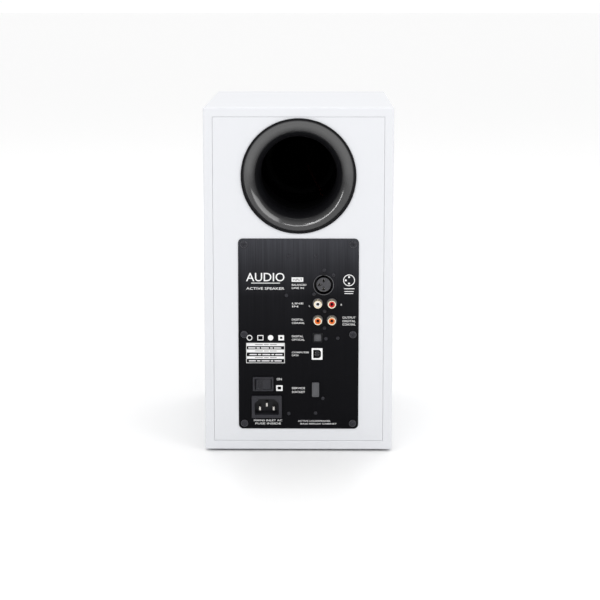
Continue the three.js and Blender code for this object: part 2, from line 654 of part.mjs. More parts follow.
function ampPlate() {
  const outline = rectangle(THREE.Shape, centred(0, AMP.width), [0, AMP.height], AMP.corner);
  outline.holes.push(
    circlePath(XLR_AT.x, XLR_AT.z, XLR.bore + XLR.wall + FIT, ROUND.medium),
    ...rcaPlaces.map(({ x, z }) => circlePath(x, z, RCA.shank + FIT, ROUND.small)),
    ...ampScrewPlaces.map(({ x, z }) => circlePath(x, z, AMP_SCREW.shank + FIT, ROUND.tiny)),
    holeFor(OPTICAL_AT, OPTICAL.side, OPTICAL.side),
    holeFor(USB_AT, USB.width, USB.height),
    holeFor(SERVICE_AT, SERVICE.width, SERVICE.height),
    holeFor(SWITCH_AT, SWITCH.width - 2 * SWITCH.body, SWITCH.height - 2 * SWITCH.body),
    holeFor(INLET_AT, INLET.width - 2 * INLET.body, INLET.height - 2 * INLET.body),
  );
  piece("amp_plate", board(outline, [PLATE_OUT, PLATE_IN]), ANODISED, amp);
}

function ampGasket() {
  const edge = 1;
  const acrossX = centred(0, AMP.width - 2 * edge);
  const acrossZ = centred(AMP.height / 2, AMP.height - 2 * edge);
  const outline = rectangle(THREE.Shape, acrossX, acrossZ, AMP.corner - edge);
  const openX = centred(0, AMP.width - 2 * AMP_RIM);
  outline.holes.push(rectangle(THREE.Path, openX, centred(AMP.height / 2, AMP.height - 2 * AMP_RIM)));
  outline.holes.push(...ampScrewPlaces.map(({ x, z }) => circlePath(x, z, AMP_SCREW.shank + FIT, ROUND.tiny)));
  piece("amp_gasket", board(outline, [PLATE_IN + GLUE, PLATE_IN + GLUE + AMP.gasket]), RUBBER, amp);
}

function ampScrews() {
  const { head, headHeight, shank, length } = AMP_SCREW;
  const under = PLATE_OUT - GLUE;
  const profile = [
    v2(0, under - headHeight),
    v2(head * 0.6, under - headHeight),
    v2(head, under - headHeight * 0.4),
    v2(head, under),
    v2(shank, under),
    v2(shank, under + length - shank),
    v2(0, under + length),
  ];
  const screw = turnedOnAxis(profile, ROUND.tiny);
  ampScrewPlaces.forEach(({ x, z }, i) => {
    piece(`amp_screw_${i + 1}`, screw, BLACK_STEEL, amp).position.set(x, 0, z);
  });
}

// Round socket: a bore with an insert standing in it, and three contact holes in the insert.
function xlrSocket() {
  const face = PLATE_OUT + FIT;
  const outside = XLR.bore + XLR.wall;
  const floor = SOCKET_DEPTH - XLR.floor;
  const body = turnedOnAxis(
    [
      v2(0, face),
      v2(XLR.insert, face),
      v2(XLR.insert, floor),
      v2(XLR.bore, floor),
      v2(XLR.bore, face),
      v2(outside, face),
      v2(outside, SOCKET_DEPTH),
      v2(0, SOCKET_DEPTH),
    ],
    ROUND.medium,
  );
  const contacts = [90, 180, 270].map((degrees) => {
    const angle = THREE.MathUtils.degToRad(degrees);
    const [x, z] = [XLR.contactCircle * Math.cos(angle), XLR.contactCircle * Math.sin(angle)];
    return rod(XLR.contact, [face - 1, face + XLR.contactDepth], ROUND.tiny, x, z);
  });
  piece("xlr_socket", cut(body, ...contacts), BLACK_PLASTIC, amp).position.set(XLR_AT.x, 0, XLR_AT.z);
}

function rcaJacks() {
  const tip = -RCA.reach;
  const under = PLATE_OUT - GLUE;
  const jack = turnedOnAxis(
    [
      v2(0, tip + RCA.holeDepth),
      v2(RCA.hole, tip + RCA.holeDepth),
      v2(RCA.hole, tip),
      v2(RCA.sleeve, tip),
      v2(RCA.sleeve, under - RCA.flangeHeight),
      v2(RCA.flange, under - RCA.flangeHeight),
      v2(RCA.flange, under),
      v2(RCA.shank, under),
      v2(RCA.shank, SOCKET_DEPTH),
      v2(0, SOCKET_DEPTH),
    ],
    ROUND.small,
  );
  for (const { name, x, z } of rcaPlaces) piece(name, jack, GOLD, amp).position.set(x, 0, z);
}

// Square optical socket whose mouth is closed by a sprung flap, hinged at its top edge.
function opticalSocket() {
  const face = PLATE_OUT - OPTICAL.proud;
  const body = block(centred(0, OPTICAL.side), [face, SOCKET_DEPTH], centred(0, OPTICAL.side));
  const mouth = block(centred(0, OPTICAL.mouth), [face - 1, face + OPTICAL.mouthDepth], centred(0, OPTICAL.mouth));
  piece("optical_socket", cut(body, mouth), BLACK_PLASTIC, amp).position.set(OPTICAL_AT.x, 0, OPTICAL_AT.z);

  const width = OPTICAL.mouth - 2 * FIT;
  const { thickness, recess, pivotDrop } = SHUTTER;
  const drop = OPTICAL.mouth - FIT - pivotDrop;
  const pivot = frameAt(OPTICAL_AT.x, face + recess + thickness / 2, OPTICAL_AT.z + OPTICAL.mouth / 2 - pivotDrop, amp);
  const flap = block(centred(0, width), centred(0, thickness), [-drop, 0]);
  const knuckle = new THREE.CylinderGeometry(thickness / 2, thickness / 2, width, ROUND.tiny).rotateZ(Math.PI / 2);
  piece("optical_shutter", join(flap, knuckle), GREY_RUBBER, pivot);
}

// Computer socket with a tongue in its mouth and two bevelled corners on one side.
function usbSocket() {
  const face = PLATE_OUT - USB.proud;
  const floor = face + USB.depth;
  const body = block(centred(0, USB.width), [face, SOCKET_DEPTH], centred(0, USB.height));
  const [x, z, bevel] = [USB.mouthWidth / 2, USB.mouthHeight / 2, USB.bevel];
  const outline = [[-x, -z], [x - bevel, -z], [x, bevel - z], [x, z - bevel], [x - bevel, z], [-x, z]];
  const mouth = board(polygonPath(THREE.Shape, outline), [face - 1, floor]);
  const tongueY = [face + USB_TONGUE.recess, floor + 1];
  const tongue = block(centred(0, USB_TONGUE.width), tongueY, centred(0, USB_TONGUE.height));
  piece("usb_socket", join(cut(body, mouth), tongue), WHITE_PLASTIC, amp).position.set(USB_AT.x, 0, USB_AT.z);
}

// Upright service socket, kept clean by a rubber cover that pulls off.
function serviceSocket() {
  const face = PLATE_OUT + GLUE;
  const floor = face + SERVICE.depth;
  const at = frameAt(SERVICE_AT.x, 0, SERVICE_AT.z, amp);
  const body = block(centred(0, SERVICE.width), [face, SOCKET_DEPTH], centred(0, SERVICE.height));
  const mouthWidth = SERVICE.width - 2 * SERVICE.wall;
  const mouthHeight = SERVICE.height - 2 * SERVICE.wall;
  const mouth = block(centred(0, mouthWidth), [face - 1, floor], centred(0, mouthHeight));
  const tongueX = [-mouthWidth / 2 + 0.6, -mouthWidth / 2 + 0.6 + SERVICE.tongue];
  const tongue = block(tongueX, [face + 0.6, floor + 1], centred(0, mouthHeight - 1.2));
  piece("service_socket", join(cut(body, mouth), tongue), STEEL, at);

  const under = PLATE_OUT - GLUE;
  const outline = rectangle(THREE.Shape, centred(0, COVER.width), centred(0, COVER.height), COVER.corner);
  const cap = board(outline, [under - COVER.thickness, under]);
  const stemX = [mouthWidth / 2 - RUN - COVER.stemWidth, mouthWidth / 2 - RUN];
  const stem = block(stemX, [under - 1, under + COVER.stem], centred(0, COVER.stemHeight));
  piece("service_cover", join(cap, stem), GREY_RUBBER, at);
}

// Rocker switch: a rim on the plate, a body behind it, and a rocker that tips about an upright pin.
function powerSwitch() {
  const at = frameAt(SWITCH_AT.x, 0, SWITCH_AT.z, amp);
  const rimBack = PLATE_OUT - GLUE;
  const rimFront = rimBack - SWITCH.rim;
  const rim = board(
    rectangle(THREE.Shape, centred(0, SWITCH.width), centred(0, SWITCH.height), 1),
    [rimFront, rimBack],
  );
  const bodyX = centred(0, SWITCH.width - 2 * SWITCH.body);
  const bodyZ = centred(0, SWITCH.height - 2 * SWITCH.body);
  const body = block(bodyX, [rimBack - 1, SWITCH.depth], bodyZ);
  const wellX = centred(0, 2 * (ROCKER.reach + RUN));
  const well = block(wellX, [rimFront - 1, SWITCH.floor], centred(0, ROCKER.height + 2 * FIT));
  piece("power_switch_frame", cut(join(rim, body), well), BLACK_PLASTIC, at);

  // The rocker's two faces rise from a shallow valley, and its ends are arcs about the pin.
  const slope = Math.tan(ROCKER_REST);
  const { reach, crown, back } = ROCKER;
  const a = 1 + slope * slope;
  const b = 2 * crown * slope;
  const tipX = (-b + Math.sqrt(b * b - 4 * a * (crown * crown - reach * reach))) / (2 * a);
  const tipAngle = THREE.MathUtils.radToDeg(Math.atan2(crown + slope * tipX, tipX));
  const backAngle = THREE.MathUtils.radToDeg(Math.asin(back / reach));
  const rightEnd = arc(0, 0, reach, tipAngle, -backAngle, 5);
  const leftEnd = [...rightEnd].reverse().map((p) => v2(-p.x, p.y));
  const outline = new THREE.Shape([v2(0, crown), ...rightEnd, ...leftEnd]);
  const options = { depth: ROCKER.height, bevelEnabled: false };
  // Drawn with the crown along +y, then turned over so that it faces out of the plate.
  const geometry = new THREE.ExtrudeGeometry(outline, options).translate(0, 0, -ROCKER.height / 2).rotateX(Math.PI);
  const pivot = frameAt(0, ROCKER.pivot, 0, at, ROCKER_REST);
  piece("power_rocker", geometry, BLACK_PLASTIC, pivot);
}

// Mains inlet with a bevelled mouth and three upright blades.
function mainsInlet() {
  const at = frameAt(INLET_AT.x, 0, INLET_AT.z, amp);
  const rimBack = PLATE_OUT - GLUE;
  const rimFront = rimBack - INLET.rim;
  const bodyX = centred(0, INLET.width - 2 * INLET.body);
  const bodyZ = centred(0, INLET.height - 2 * INLET.body);
  const rim = board(
    rectangle(THREE.Shape, centred(0, INLET.width), centred(0, INLET.height), 1.2),
    [rimFront, rimBack],
  );
  const body = block(bodyX, [rimBack - 1, INLET.depth], bodyZ);
  const [x, z, bevel] = [INLET.mouthWidth / 2, INLET.mouthHeight / 2, INLET_BEVEL];
  const outline = [[-x, -z], [x, -z], [x, z - bevel], [x - bevel, z], [bevel - x, z], [-x, z - bevel]];
  const mouth = board(polygonPath(THREE.Shape, outline), [rimFront - 1, INLET.depth - INLET_FLOOR]);
  const blades = [
    { name: "mains_pin_live", x: -PIN.pitch / 2, z: -PIN.earthRise / 2 },
    { name: "mains_pin_neutral", x: PIN.pitch / 2, z: -PIN.earthRise / 2 },
    { name: "mains_pin_earth", x: 0, z: PIN.earthRise / 2 },
  ];
  const span = [rimFront + PIN.recess, INLET.depth + PIN.tail];
  const slots = blades.map((b) => block(centred(b.x, PIN.width + 2 * GLUE), span, centred(b.z, PIN.height + 2 * GLUE)));
  piece("mains_inlet", cut(join(rim, body), mouth, ...slots), BLACK_PLASTIC, at);
  for (const b of blades) {
    piece(b.name, block(centred(0, PIN.width), span, centred(0, PIN.height)), STEEL, at).position.set(b.x, 0, b.z);
  }
}

function boards() {
  const { left, right, bottom, top } = INPUT_BOARD;
  const inputY = SOCKET_DEPTH + GLUE;
  const inputBoard = block([left, right], [inputY, inputY + PCB], [bottom, top]);
  piece("input_board", inputBoard, SOLDER_MASK, amp);

  const ampY = AMP_BOARD.depth;
  const ampBoard = block([AMP_BOARD.left, AMP_BOARD.right], [ampY, ampY + PCB], [AMP_BOARD.bottom, AMP_BOARD_TOP]);
  piece("amplifier_board", ampBoard, SOLDER_MASK, amp);

  const can = block(centred(0, WIRELESS.width), [0, WIRELESS.depth], centred(0, WIRELESS.height));
  const wireless = piece("wireless_module", can, STEEL, amp);
  wireless.position.set(WIRELESS.x, inputY + PCB + GLUE, WIRELESS.z);

  const { width, height, corner } = TRANSFORMER;
  const core = rectangle(THREE.Shape, centred(0, width), centred(0, height), corner);
  const transformer = piece("transformer", board(core, [0, TRANSFORMER.depth]), FERRITE, amp);
  transformer.position.set(TRANSFORMER.x, ampY + PCB + GLUE, TRANSFORMER.z);

  ["left", "right"].forEach((side, i) => {
    const spacer = rod(SPACER.radius, [PLATE_IN + GLUE, ampY - GLUE], 6);
    const x = SPACER.middle + (i ? SPACER.x : -SPACER.x);
    piece(`board_spacer_${side}`, spacer, STEEL, amp).position.set(x, 0, SPACER.z);
  });
}

// Finned bar that carries the amplifier board and passes its heat to the plate.
function heatSink() {
  const [y0, y1] = [PLATE_IN + GLUE, AMP_BOARD.depth - GLUE];
  const span = [AMP_BOARD.left, AMP_BOARD.right];
  const tall = [AMP_BOARD_TOP - HEAT_SINK.height, AMP_BOARD_TOP];
  const pitch = (span[1] - span[0] - HEAT_SINK.fin) / HEAT_SINK.fins;
  const upright = [tall[0] + HEAT_SINK.web, tall[1] + 1];
  const slots = Array.from({ length: HEAT_SINK.fins }, (_, i) => {
    const x = span[0] + HEAT_SINK.fin + i * pitch;
    return block([x, x + pitch - HEAT_SINK.fin], [y0 + HEAT_SINK.base, y1 - HEAT_SINK.base], upright);
  });
  piece("heat_sink", cut(block(span, [y0, y1], tall), ...slots), ALUMINIUM, amp);
}

// ---------------------------------------------------------------- leads inside the cabinet

function lead(name, points) {
  const route = new THREE.CatmullRomCurve3(points.map(([x, y, z]) => new THREE.Vector3(x, y, z)));
  const section = new THREE.Shape(arc(0, 0, LEAD_RADIUS, 0, 315, 7));
  const geometry = new THREE.ExtrudeGeometry(section, { steps: LEAD_STEPS, extrudePath: route, bevelEnabled: false });
  piece(name, geometry, LEAD_RED, speaker);
}

// Both leads leave the amplifier board. One lies on the woofer's frame, and the other passes through the
// brace's window to the tweeter.
function leads() {
  const boardY = REAR_Y - AMP_BOARD.depth - PCB - LEAD_CLEAR;
  const depthFrom = (y, share) => FRONT_Y + y + (boardY - FRONT_Y - y) * share;

  const spiderLedge = WOOFER.ledge + 2;
  const frameTop = BOTTOM_Z + WOOFER.fromBottom + WOOFER.backRadius + 2 + LEAD_RADIUS + LEAD_CLEAR;
  lead("woofer_lead", [
    [-10, boardY, frameTop],
    [-10, depthFrom(spiderLedge, 0.9), frameTop],
    [-9, depthFrom(spiderLedge, 0.5), frameTop - 8],
    [-3, depthFrom(spiderLedge, 0.15), frameTop - 1],
    [0, depthFrom(spiderLedge, 0.07), frameTop],
    [0, depthFrom(spiderLedge, 0), frameTop],
  ]);

  const cup = TWEETER.hubDepth + DOME_MOTOR.magnetThickness + DOME_MOTOR.backPlate + DOME_MOTOR.chamberDepth + 2;
  const tweeterZ = BOTTOM_Z + TWEETER_FROM_BOTTOM;
  const braceZ = BOTTOM_Z + BRACE.fromBottom;
  lead("tweeter_lead", [
    [-20, boardY, braceZ - 24],
    [-20, depthFrom(cup, 0.9), braceZ - 24],
    [-30, depthFrom(cup, 0.62), braceZ - 10],
    [-34, depthFrom(cup, 0.42), braceZ + BRACE.thickness / 2],
    [-24, depthFrom(cup, 0.2), (braceZ + tweeterZ) / 2],
    [-6, depthFrom(cup, 0.07), tweeterZ],
    [-6, depthFrom(cup, 0), tweeterZ],
  ]);
}

cabinetWrap();
frontBaffle();
rearBaffle();
cabinetBrace();
dampingFelt();
feet();
portFlare();
portTube();
wooferBasket();
wooferSurround();
wooferCone();
wooferDustCap();
wooferVoiceCoil();
wooferSpider();
wooferMotor();
tweeterFaceplate();
tweeterDomeUnit();
tweeterMotor();
tweeterGuard();
ampPlate();
ampGasket();
ampScrews();
xlrSocket();
rcaJacks();
opticalSocket();
usbSocket();
serviceSocket();
powerSwitch();
mainsInlet();
boards();
heatSink();
leads();

export default speaker;
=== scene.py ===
"""Powered bookshelf loudspeaker, seen from behind.

Metres, +Z up. The drivers face -Y and the sockets face +Y. Sizes are written in millimetres times MM.
"""

import json
import math

import bmesh
import bpy
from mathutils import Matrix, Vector


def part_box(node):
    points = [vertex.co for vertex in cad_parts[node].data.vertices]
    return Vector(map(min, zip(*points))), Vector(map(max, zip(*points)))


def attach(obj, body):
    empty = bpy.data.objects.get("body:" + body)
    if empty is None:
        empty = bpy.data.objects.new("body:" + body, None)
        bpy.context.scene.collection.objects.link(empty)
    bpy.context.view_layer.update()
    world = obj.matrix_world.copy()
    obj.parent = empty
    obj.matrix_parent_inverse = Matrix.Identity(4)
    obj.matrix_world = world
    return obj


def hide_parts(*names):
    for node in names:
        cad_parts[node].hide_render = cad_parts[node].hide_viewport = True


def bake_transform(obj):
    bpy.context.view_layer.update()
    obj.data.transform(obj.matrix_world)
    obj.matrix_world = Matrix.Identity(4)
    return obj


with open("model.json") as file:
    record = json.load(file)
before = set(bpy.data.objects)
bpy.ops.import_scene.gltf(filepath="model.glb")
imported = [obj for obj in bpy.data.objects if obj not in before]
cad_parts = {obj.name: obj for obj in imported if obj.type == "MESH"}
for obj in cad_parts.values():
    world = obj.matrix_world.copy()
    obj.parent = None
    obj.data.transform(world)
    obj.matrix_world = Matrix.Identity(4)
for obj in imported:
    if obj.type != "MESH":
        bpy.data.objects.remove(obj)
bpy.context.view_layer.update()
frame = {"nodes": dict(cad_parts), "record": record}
MM = 0.001
FULL_TURN = 2 * math.pi
TOUCH = 1e-5  # how near a plane counts as lying on it


# ---------------------------------------------------------------- places in the frame


def corners(node):
    """The lowest and the highest corner of a CAD node."""
    low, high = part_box(node)
    return Vector(low), Vector(high)


def middle(node):
    low, high = corners(node)
    return (low + high) / 2


# ---------------------------------------------------------------- materials


class Wire:
    """An output in a material's node tree. Arithmetic on it adds Math nodes."""

    def __init__(self, finish, socket):
        self.finish = finish
        self.socket = socket

    def maths(self, operation, *values):
        inputs = dict(enumerate(values))
        return self.finish.node("ShaderNodeMath", {"operation": operation}, inputs)

    def __add__(self, other):
        return self.maths("ADD", self, other)

    def __sub__(self, other):
        return self.maths("SUBTRACT", self, other)

    def __rsub__(self, other):
        return self.maths("SUBTRACT", other, self)

    def __mul__(self, other):
        return self.maths("MULTIPLY", self, other)

    __radd__ = __add__
    __rmul__ = __mul__


class Finish:
    """A material built up from nodes round one Principled shader."""

    def __init__(self, name, colour, roughness, metallic=0.0, **shader):
        self.material = bpy.data.materials.new(name)
        self.material.use_nodes = True
        self.tree = self.material.node_tree
        self.shader = self.tree.nodes["Principled BSDF"]
        self.set("Base Color", (*colour, 1))
        self.set("Roughness", roughness)
        self.set("Metallic", metallic)
        for socket, value in shader.items():
            self.set(socket.replace("_", " "), value)
        self.colour = colour
        self.roughness = roughness
        self.height = None

    def feed(self, socket, value):
        if isinstance(value, Wire):
            self.tree.links.new(value.socket, socket)
        else:
            socket.default_value = value

    def set(self, socket, value):
        self.feed(self.shader.inputs[socket], value)

    def node(self, kind, settings=None, inputs=None, output=0):
        """Adds one node: its settings first, then the values or wires of its sockets."""
        node = self.tree.nodes.new(kind)
        for key, value in (settings or {}).items():
            if key == "stops":
                ramp = node.color_ramp
                while len(ramp.elements) < len(value):
                    ramp.elements.new(0.5)
                for element, (position, shade) in zip(ramp.elements, value):
                    element.position = position
                    element.color = (shade, shade, shade, 1)
            else:
                setattr(node, key, value)
        for socket, value in (inputs or {}).items():
            self.feed(node.inputs[socket], value)
        return Wire(self, node.outputs[output])

    def place(self, stretch=(1, 1, 1), shift=(0, 0, 0)):
        """Object coordinates, stretched and shifted."""
        here = self.node("ShaderNodeTexCoord", output="Object")
        return self.node("ShaderNodeMapping", inputs={"Vector": here, "Scale": stretch, "Location": shift})

    def noise(self, scale, detail=3.0, stretch=(1, 1, 1)):
        inputs = {"Vector": self.place(stretch), "Scale": scale, "Detail": detail}
        return self.node("ShaderNodeTexNoise", inputs=inputs)

    def cells(self, scale, feature="F1"):
        inputs = {"Vector": self.place(), "Scale": scale}
        return self.node("ShaderNodeTexVoronoi", {"feature": feature}, inputs)

    def stripes(self, scale, direction):
        settings = {"wave_type": "BANDS", "bands_direction": direction}
        inputs = {"Vector": self.place(), "Scale": scale}
        return self.node("ShaderNodeTexWave", settings, inputs, output=1)

    def shaped(self, wire, *stops):
        """Bends a value through a ramp of (position, shade) stops."""
        return self.node("ShaderNodeValToRGB", {"stops": stops}, {0: wire})

    def tint(self, share, first, last):
        """Mixes two colours over the piece: the first where share is 0, the last where it is 1."""
        inputs = {0: share, 6: (*first, 1), 7: (*last, 1)}
        self.set("Base Color", self.node("ShaderNodeMix", {"data_type": "RGBA"}, inputs, output=2))
        return self

    def mottle(self, scale, amount, colour=None):
        """Slow changes of colour and gloss, as handling and moulding leave."""
        patch = self.noise(scale, 4.0)
        other = colour or tuple(min(1, c * (1 + amount * 2) + amount * 0.02) for c in self.colour)
        self.tint(patch, self.colour, other)
        self.set("Roughness", patch * amount + (self.roughness - amount / 2))
        return self

    def relief(self, height, depth):
        """Adds a height pattern from 0 to 1, depth metres high."""
        inputs = {"Height": height, "Distance": depth, "Strength": 1.0}
        if self.height:
            inputs["Normal"] = self.height
        self.height = self.node("ShaderNodeBump", inputs=inputs)
        self.set("Normal", self.height)
        return self


def moulded(name, colour, roughness, grain=2600, depth=12e-6, patch=0.06, **shader):
    """Plastic or rubber with a fine moulded grain."""
    finish = Finish(name, colour, roughness, **shader)
    finish.mottle(60, patch)
    return finish.relief(finish.noise(grain, 2.0), depth)


def drawn_metal(name, colour, roughness, grain=(1, 1, 1), patch=0.08, **shader):
    """Bare or plated metal with fine tool lines along the axis that grain shrinks."""
    finish = Finish(name, colour, roughness, metallic=1.0, **shader)
    lines = finish.noise(1800, 3.0, grain)
    finish.tint(finish.noise(90), colour, tuple(c * (1 - patch) for c in colour))
    finish.set("Roughness", lines * patch * 2 + (roughness - patch))
    return finish.relief(lines, 4e-6)


def white_lacquer():
    """Sprayed satin lacquer with a slight orange peel over a slow ripple."""
    finish = Finish("white_satin_lacquer", (0.75, 0.76, 0.787), 0.34, Specular_IOR_Level=0.2)
    finish.tint(finish.noise(3.5), (0.733, 0.742, 0.768), (0.72, 0.73, 0.756))
    finish.set("Roughness", finish.noise(14, 4.0) * 0.08 + 0.36)
    finish.relief(finish.noise(320, 2.0), 9e-6)
    return finish.relief(finish.noise(45, 1.0), 14e-6)


def black_brushed():
    """Anodised sheet brushed upright: fine lines of uneven length, tone and gloss, with painted light that
    makes it paler towards the top.
    """
    finish = Finish("black_brushed_anodised", (0.012, 0.012, 0.015), 0.42, Specular_IOR_Level=0.05)
    fine = finish.noise(2400, 4.0, (1, 1, 0.008))
    broad = finish.noise(260, 3.0, (1, 1, 0.03))
    lines = finish.shaped(fine * 0.6 + broad * 0.4, (0.36, 0.0), (0.64, 1.0))
    low, high = corners("amp_plate")
    height = finish.node("ShaderNodeSeparateXYZ", inputs={0: finish.place()}, output=2)
    climb = (height - low.z) * (1 / (high.z - low.z))
    # Painted light: the base colour grows paler towards the top of the plate.
    painted_light_at_top = finish.shaped(climb, (0.0, 0.03), (0.45, 0.07), (0.7, 0.15), (0.86, 0.5), (1.0, 1.0))
    share = painted_light_at_top * (lines * 0.4 + 0.6)
    finish.tint(share, (0.0018, 0.0018, 0.0026), (0.058, 0.059, 0.068))
    finish.set("Roughness", lines * 0.14 + 0.36)
    return finish.relief(fine, 9e-6)


def cone_metal():
    """Spun light-alloy cone with faint rings from the forming tool."""
    finish = Finish("cone_satin_alloy", (0.62, 0.63, 0.65), 0.32, metallic=0.9)
    settings = {"wave_type": "RINGS", "rings_direction": "Y"}
    inputs = {"Vector": finish.place(shift=-middle("woofer_cone")), "Scale": 700.0}
    rings = finish.node("ShaderNodeTexWave", settings, inputs, output=1)
    finish.tint(finish.noise(40), (0.62, 0.63, 0.65), (0.55, 0.56, 0.585))
    finish.set("Roughness", rings * 0.06 + 0.30)
    return finish.relief(rings, 5e-6)


def woven(name, light, dark, pitch, roughness=0.9):
    """Plain weave: threads each way, with a fuzz of fine fibres."""
    finish = Finish(name, light, roughness, Sheen_Weight=0.3)
    across = finish.stripes(pitch, "X")
    up = finish.stripes(pitch, "Z")
    weave = across.maths("MAXIMUM", across, up)
    finish.tint(weave, dark, light)
    finish.set("Roughness", finish.noise(400) * 0.1 + (roughness - 0.05))
    return finish.relief(weave, 60e-6)


def felt():
    """Pressed black felt with loose fibres standing up."""
    finish = Finish("black_felt", (0.02, 0.02, 0.022), 0.97, Sheen_Weight=0.4)
    fibres = finish.noise(900, 6.0, (1, 0.3, 1))
    finish.tint(fibres, (0.012, 0.012, 0.014), (0.034, 0.034, 0.038))
    finish.relief(finish.noise(240, 4.0), 300e-6)
    return finish.relief(fibres, 120e-6)


def raw_board():
    """Cut fibreboard: pressed fibres with a few dark flecks."""
    finish = Finish("raw_fibreboard", (0.42, 0.31, 0.19), 0.88)
    fibres = finish.noise(1300, 5.0, (1, 1, 0.35))
    flecks = finish.shaped(finish.noise(700, 2.0), (0.62, 0.0), (0.72, 1.0))
    finish.tint(fibres - flecks * 0.5, (0.30, 0.21, 0.12), (0.50, 0.38, 0.24))
    finish.set("Roughness", fibres * 0.1 + 0.83)
    return finish.relief(fibres, 60e-6)


def circuit_board():
    """Green solder mask over faint copper tracks."""
    finish = Finish("green_circuit_board", (0.012, 0.085, 0.035), 0.38, Coat_Weight=0.5)
    tracks = finish.shaped(finish.cells(420, feature="DISTANCE_TO_EDGE"), (0.04, 1.0), (0.09, 0.0))
    finish.tint(tracks, (0.010, 0.070, 0.030), (0.030, 0.16, 0.06))
    finish.set("Roughness", tracks * -0.1 + 0.42)
    return finish.relief(tracks, 30e-6)


def ferrite():
    """Sintered magnet with small pits."""
    finish = Finish("dark_ferrite", (0.035, 0.036, 0.04), 0.62, metallic=0.2)
    pits = finish.shaped(finish.cells(900), (0.08, 0.0), (0.3, 1.0))
    finish.mottle(50, 0.12)
    return finish.relief(pits, 40e-6)


def powder_coat():
    """Cast frame under black powder coat, with its fine leathery texture."""
    finish = Finish("black_powder_coat", (0.022, 0.023, 0.025), 0.52)
    finish.mottle(45, 0.08)
    return finish.relief(finish.cells(1500, feature="SMOOTH_F1"), 45e-6)


def port_plastic():
    """Black plastic polished on the roll that shows, and dull down in the throat."""
    shader = {"Specular_IOR_Level": 0.12, "Coat_IOR": 1.95, "Coat_Roughness": 0.12}
    finish = moulded("port_gloss_plastic", (0.003, 0.003, 0.004), 0.55, 3200, 1e-7, **shader)
    rim = corners("port_flare")[1].y
    depth = finish.node("ShaderNodeSeparateXYZ", inputs={0: finish.place()}, output=1)
    stops = ((0.05, 1.0), (0.13, 0.7), (0.2, 0.38), (0.29, 0.12), (0.42, 0.0))
    gloss = finish.shaped((rim - depth) * 50, *stops)
    axis = middle("port_flare")
    inputs = {0: finish.place((1, 0, 1)), 1: (axis.x, 0, axis.z)}
    radius = finish.node("ShaderNodeVectorMath", {"operation": "DISTANCE"}, inputs, output="Value")
    inside_rim = finish.shaped(radius * 10, (0.545, 1.0), (0.56, 0.0))
    finish.set("Coat Weight", gloss * inside_rim)
    return finish


# One finish for each material slot of the record.
FINISHES = {
    "lacquered_board": white_lacquer(),
    "raw_board": raw_board(),
    "felt": felt(),
    "rubber": moulded("black_rubber", (0.016, 0.016, 0.017), 0.62, grain=1900, depth=18e-6, patch=0.1),
    "grey_rubber": moulded("grey_rubber", (0.075, 0.076, 0.082), 0.6, grain=2100, depth=16e-6, patch=0.1),
    "port_plastic": port_plastic(),
    "cast_frame": powder_coat(),
    "cone_metal": cone_metal(),
    "dome_metal": drawn_metal("dome_bright_alloy", (0.74, 0.75, 0.77), 0.16, patch=0.05),
    "copper": drawn_metal("enamelled_copper", (0.55, 0.24, 0.11), 0.3, grain=(1, 6, 1)),
    "spider_cloth": woven("spider_cloth", (0.52, 0.36, 0.10), (0.24, 0.15, 0.04), 900),
    "steel": drawn_metal("zinc_plated_steel", (0.62, 0.63, 0.64), 0.3),
    "ferrite": ferrite(),
    "black_anodised": black_brushed(),
    "black_plastic": moulded(
        "black_moulded_plastic", (0.006, 0.006, 0.008), 0.3, 2400, 6e-6, Specular_IOR_Level=0.22
    ),
    "black_steel": drawn_metal("black_zinc_steel", (0.050, 0.050, 0.057), 0.34),
    "gold_plate": drawn_metal("pale_gold_plate", (0.97, 0.86, 0.66), 0.24, patch=0.05),
    "white_plastic": moulded("white_moulded_plastic", (0.86, 0.86, 0.86), 0.4, 2000, 8e-6, patch=0.04),
    "circuit_board": circuit_board(),
    "bare_aluminium": drawn_metal("extruded_aluminium", (0.66, 0.67, 0.69), 0.34, grain=(0.05, 1, 1)),
    "lead_red": moulded("red_lead_insulation", (0.06, 0.003, 0.003), 0.45, grain=900, depth=10e-6),
}
# Looks that share a slot with a finish above, for pieces that differ from it in tone.
EXTRA = {
    # Matt black: the own colour of the port tube and the flag, and painted shade inside the cabinet, on the
    # tweeter's back cup and in the socket holes.
    "matt_black_and_shade": moulded(
        "matt_black_paint", (0.003, 0.003, 0.0035), 0.8, 2600, 20e-6, Specular_IOR_Level=0.1
    ),
    "print": moulded("white_panel_ink", (0.80, 0.80, 0.80), 0.55, grain=4200, depth=4e-6, patch=0.04),
    "jack_white": moulded("white_jack_insert", (0.88, 0.87, 0.85), 0.32, patch=0.03),
    "jack_red": moulded("red_jack_insert", (0.62, 0.012, 0.012), 0.32, patch=0.03),
    "jack_orange": moulded("orange_jack_insert", (0.85, 0.17, 0.02), 0.32, patch=0.03),
    "insert_grey": moulded("grey_socket_insert", (0.045, 0.045, 0.051), 0.42, grain=2200, depth=8e-6),
    "dull_steel": drawn_metal("dull_grey_steel", (0.17, 0.17, 0.18), 0.36),
    # Painted shade for the inside of the data socket's mouth.
    "painted_shade_hole": moulded("shadowed_socket_inside", (0.006, 0.006, 0.007), 0.7, grain=1500, depth=8e-6),
    "nickel": drawn_metal("nickel_plate", (0.74, 0.72, 0.68), 0.18, patch=0.05),
    "frame_grey": moulded(
        "dark_grey_moulded_plastic", (0.020, 0.020, 0.025), 0.36, 1900, 8e-6, Specular_IOR_Level=0.3
    ),
}


# ---------------------------------------------------------------- modelling


def deselect():
    if bpy.context.mode != "OBJECT":
        bpy.ops.object.mode_set(mode="OBJECT")
    bpy.ops.object.select_all(action="DESELECT")


def activate(piece, *others):
    deselect()
    for other in (piece, *others):
        other.select_set(True)
    bpy.context.view_layer.objects.active = piece


def start(add, name, **how):
    """Adds a primitive, with its place in its mesh."""
    deselect()
    add(**how)
    piece = bpy.context.object
    piece.name = piece.data.name = name
    bpy.ops.object.transform_apply(location=True, rotation=True, scale=True)
    return piece


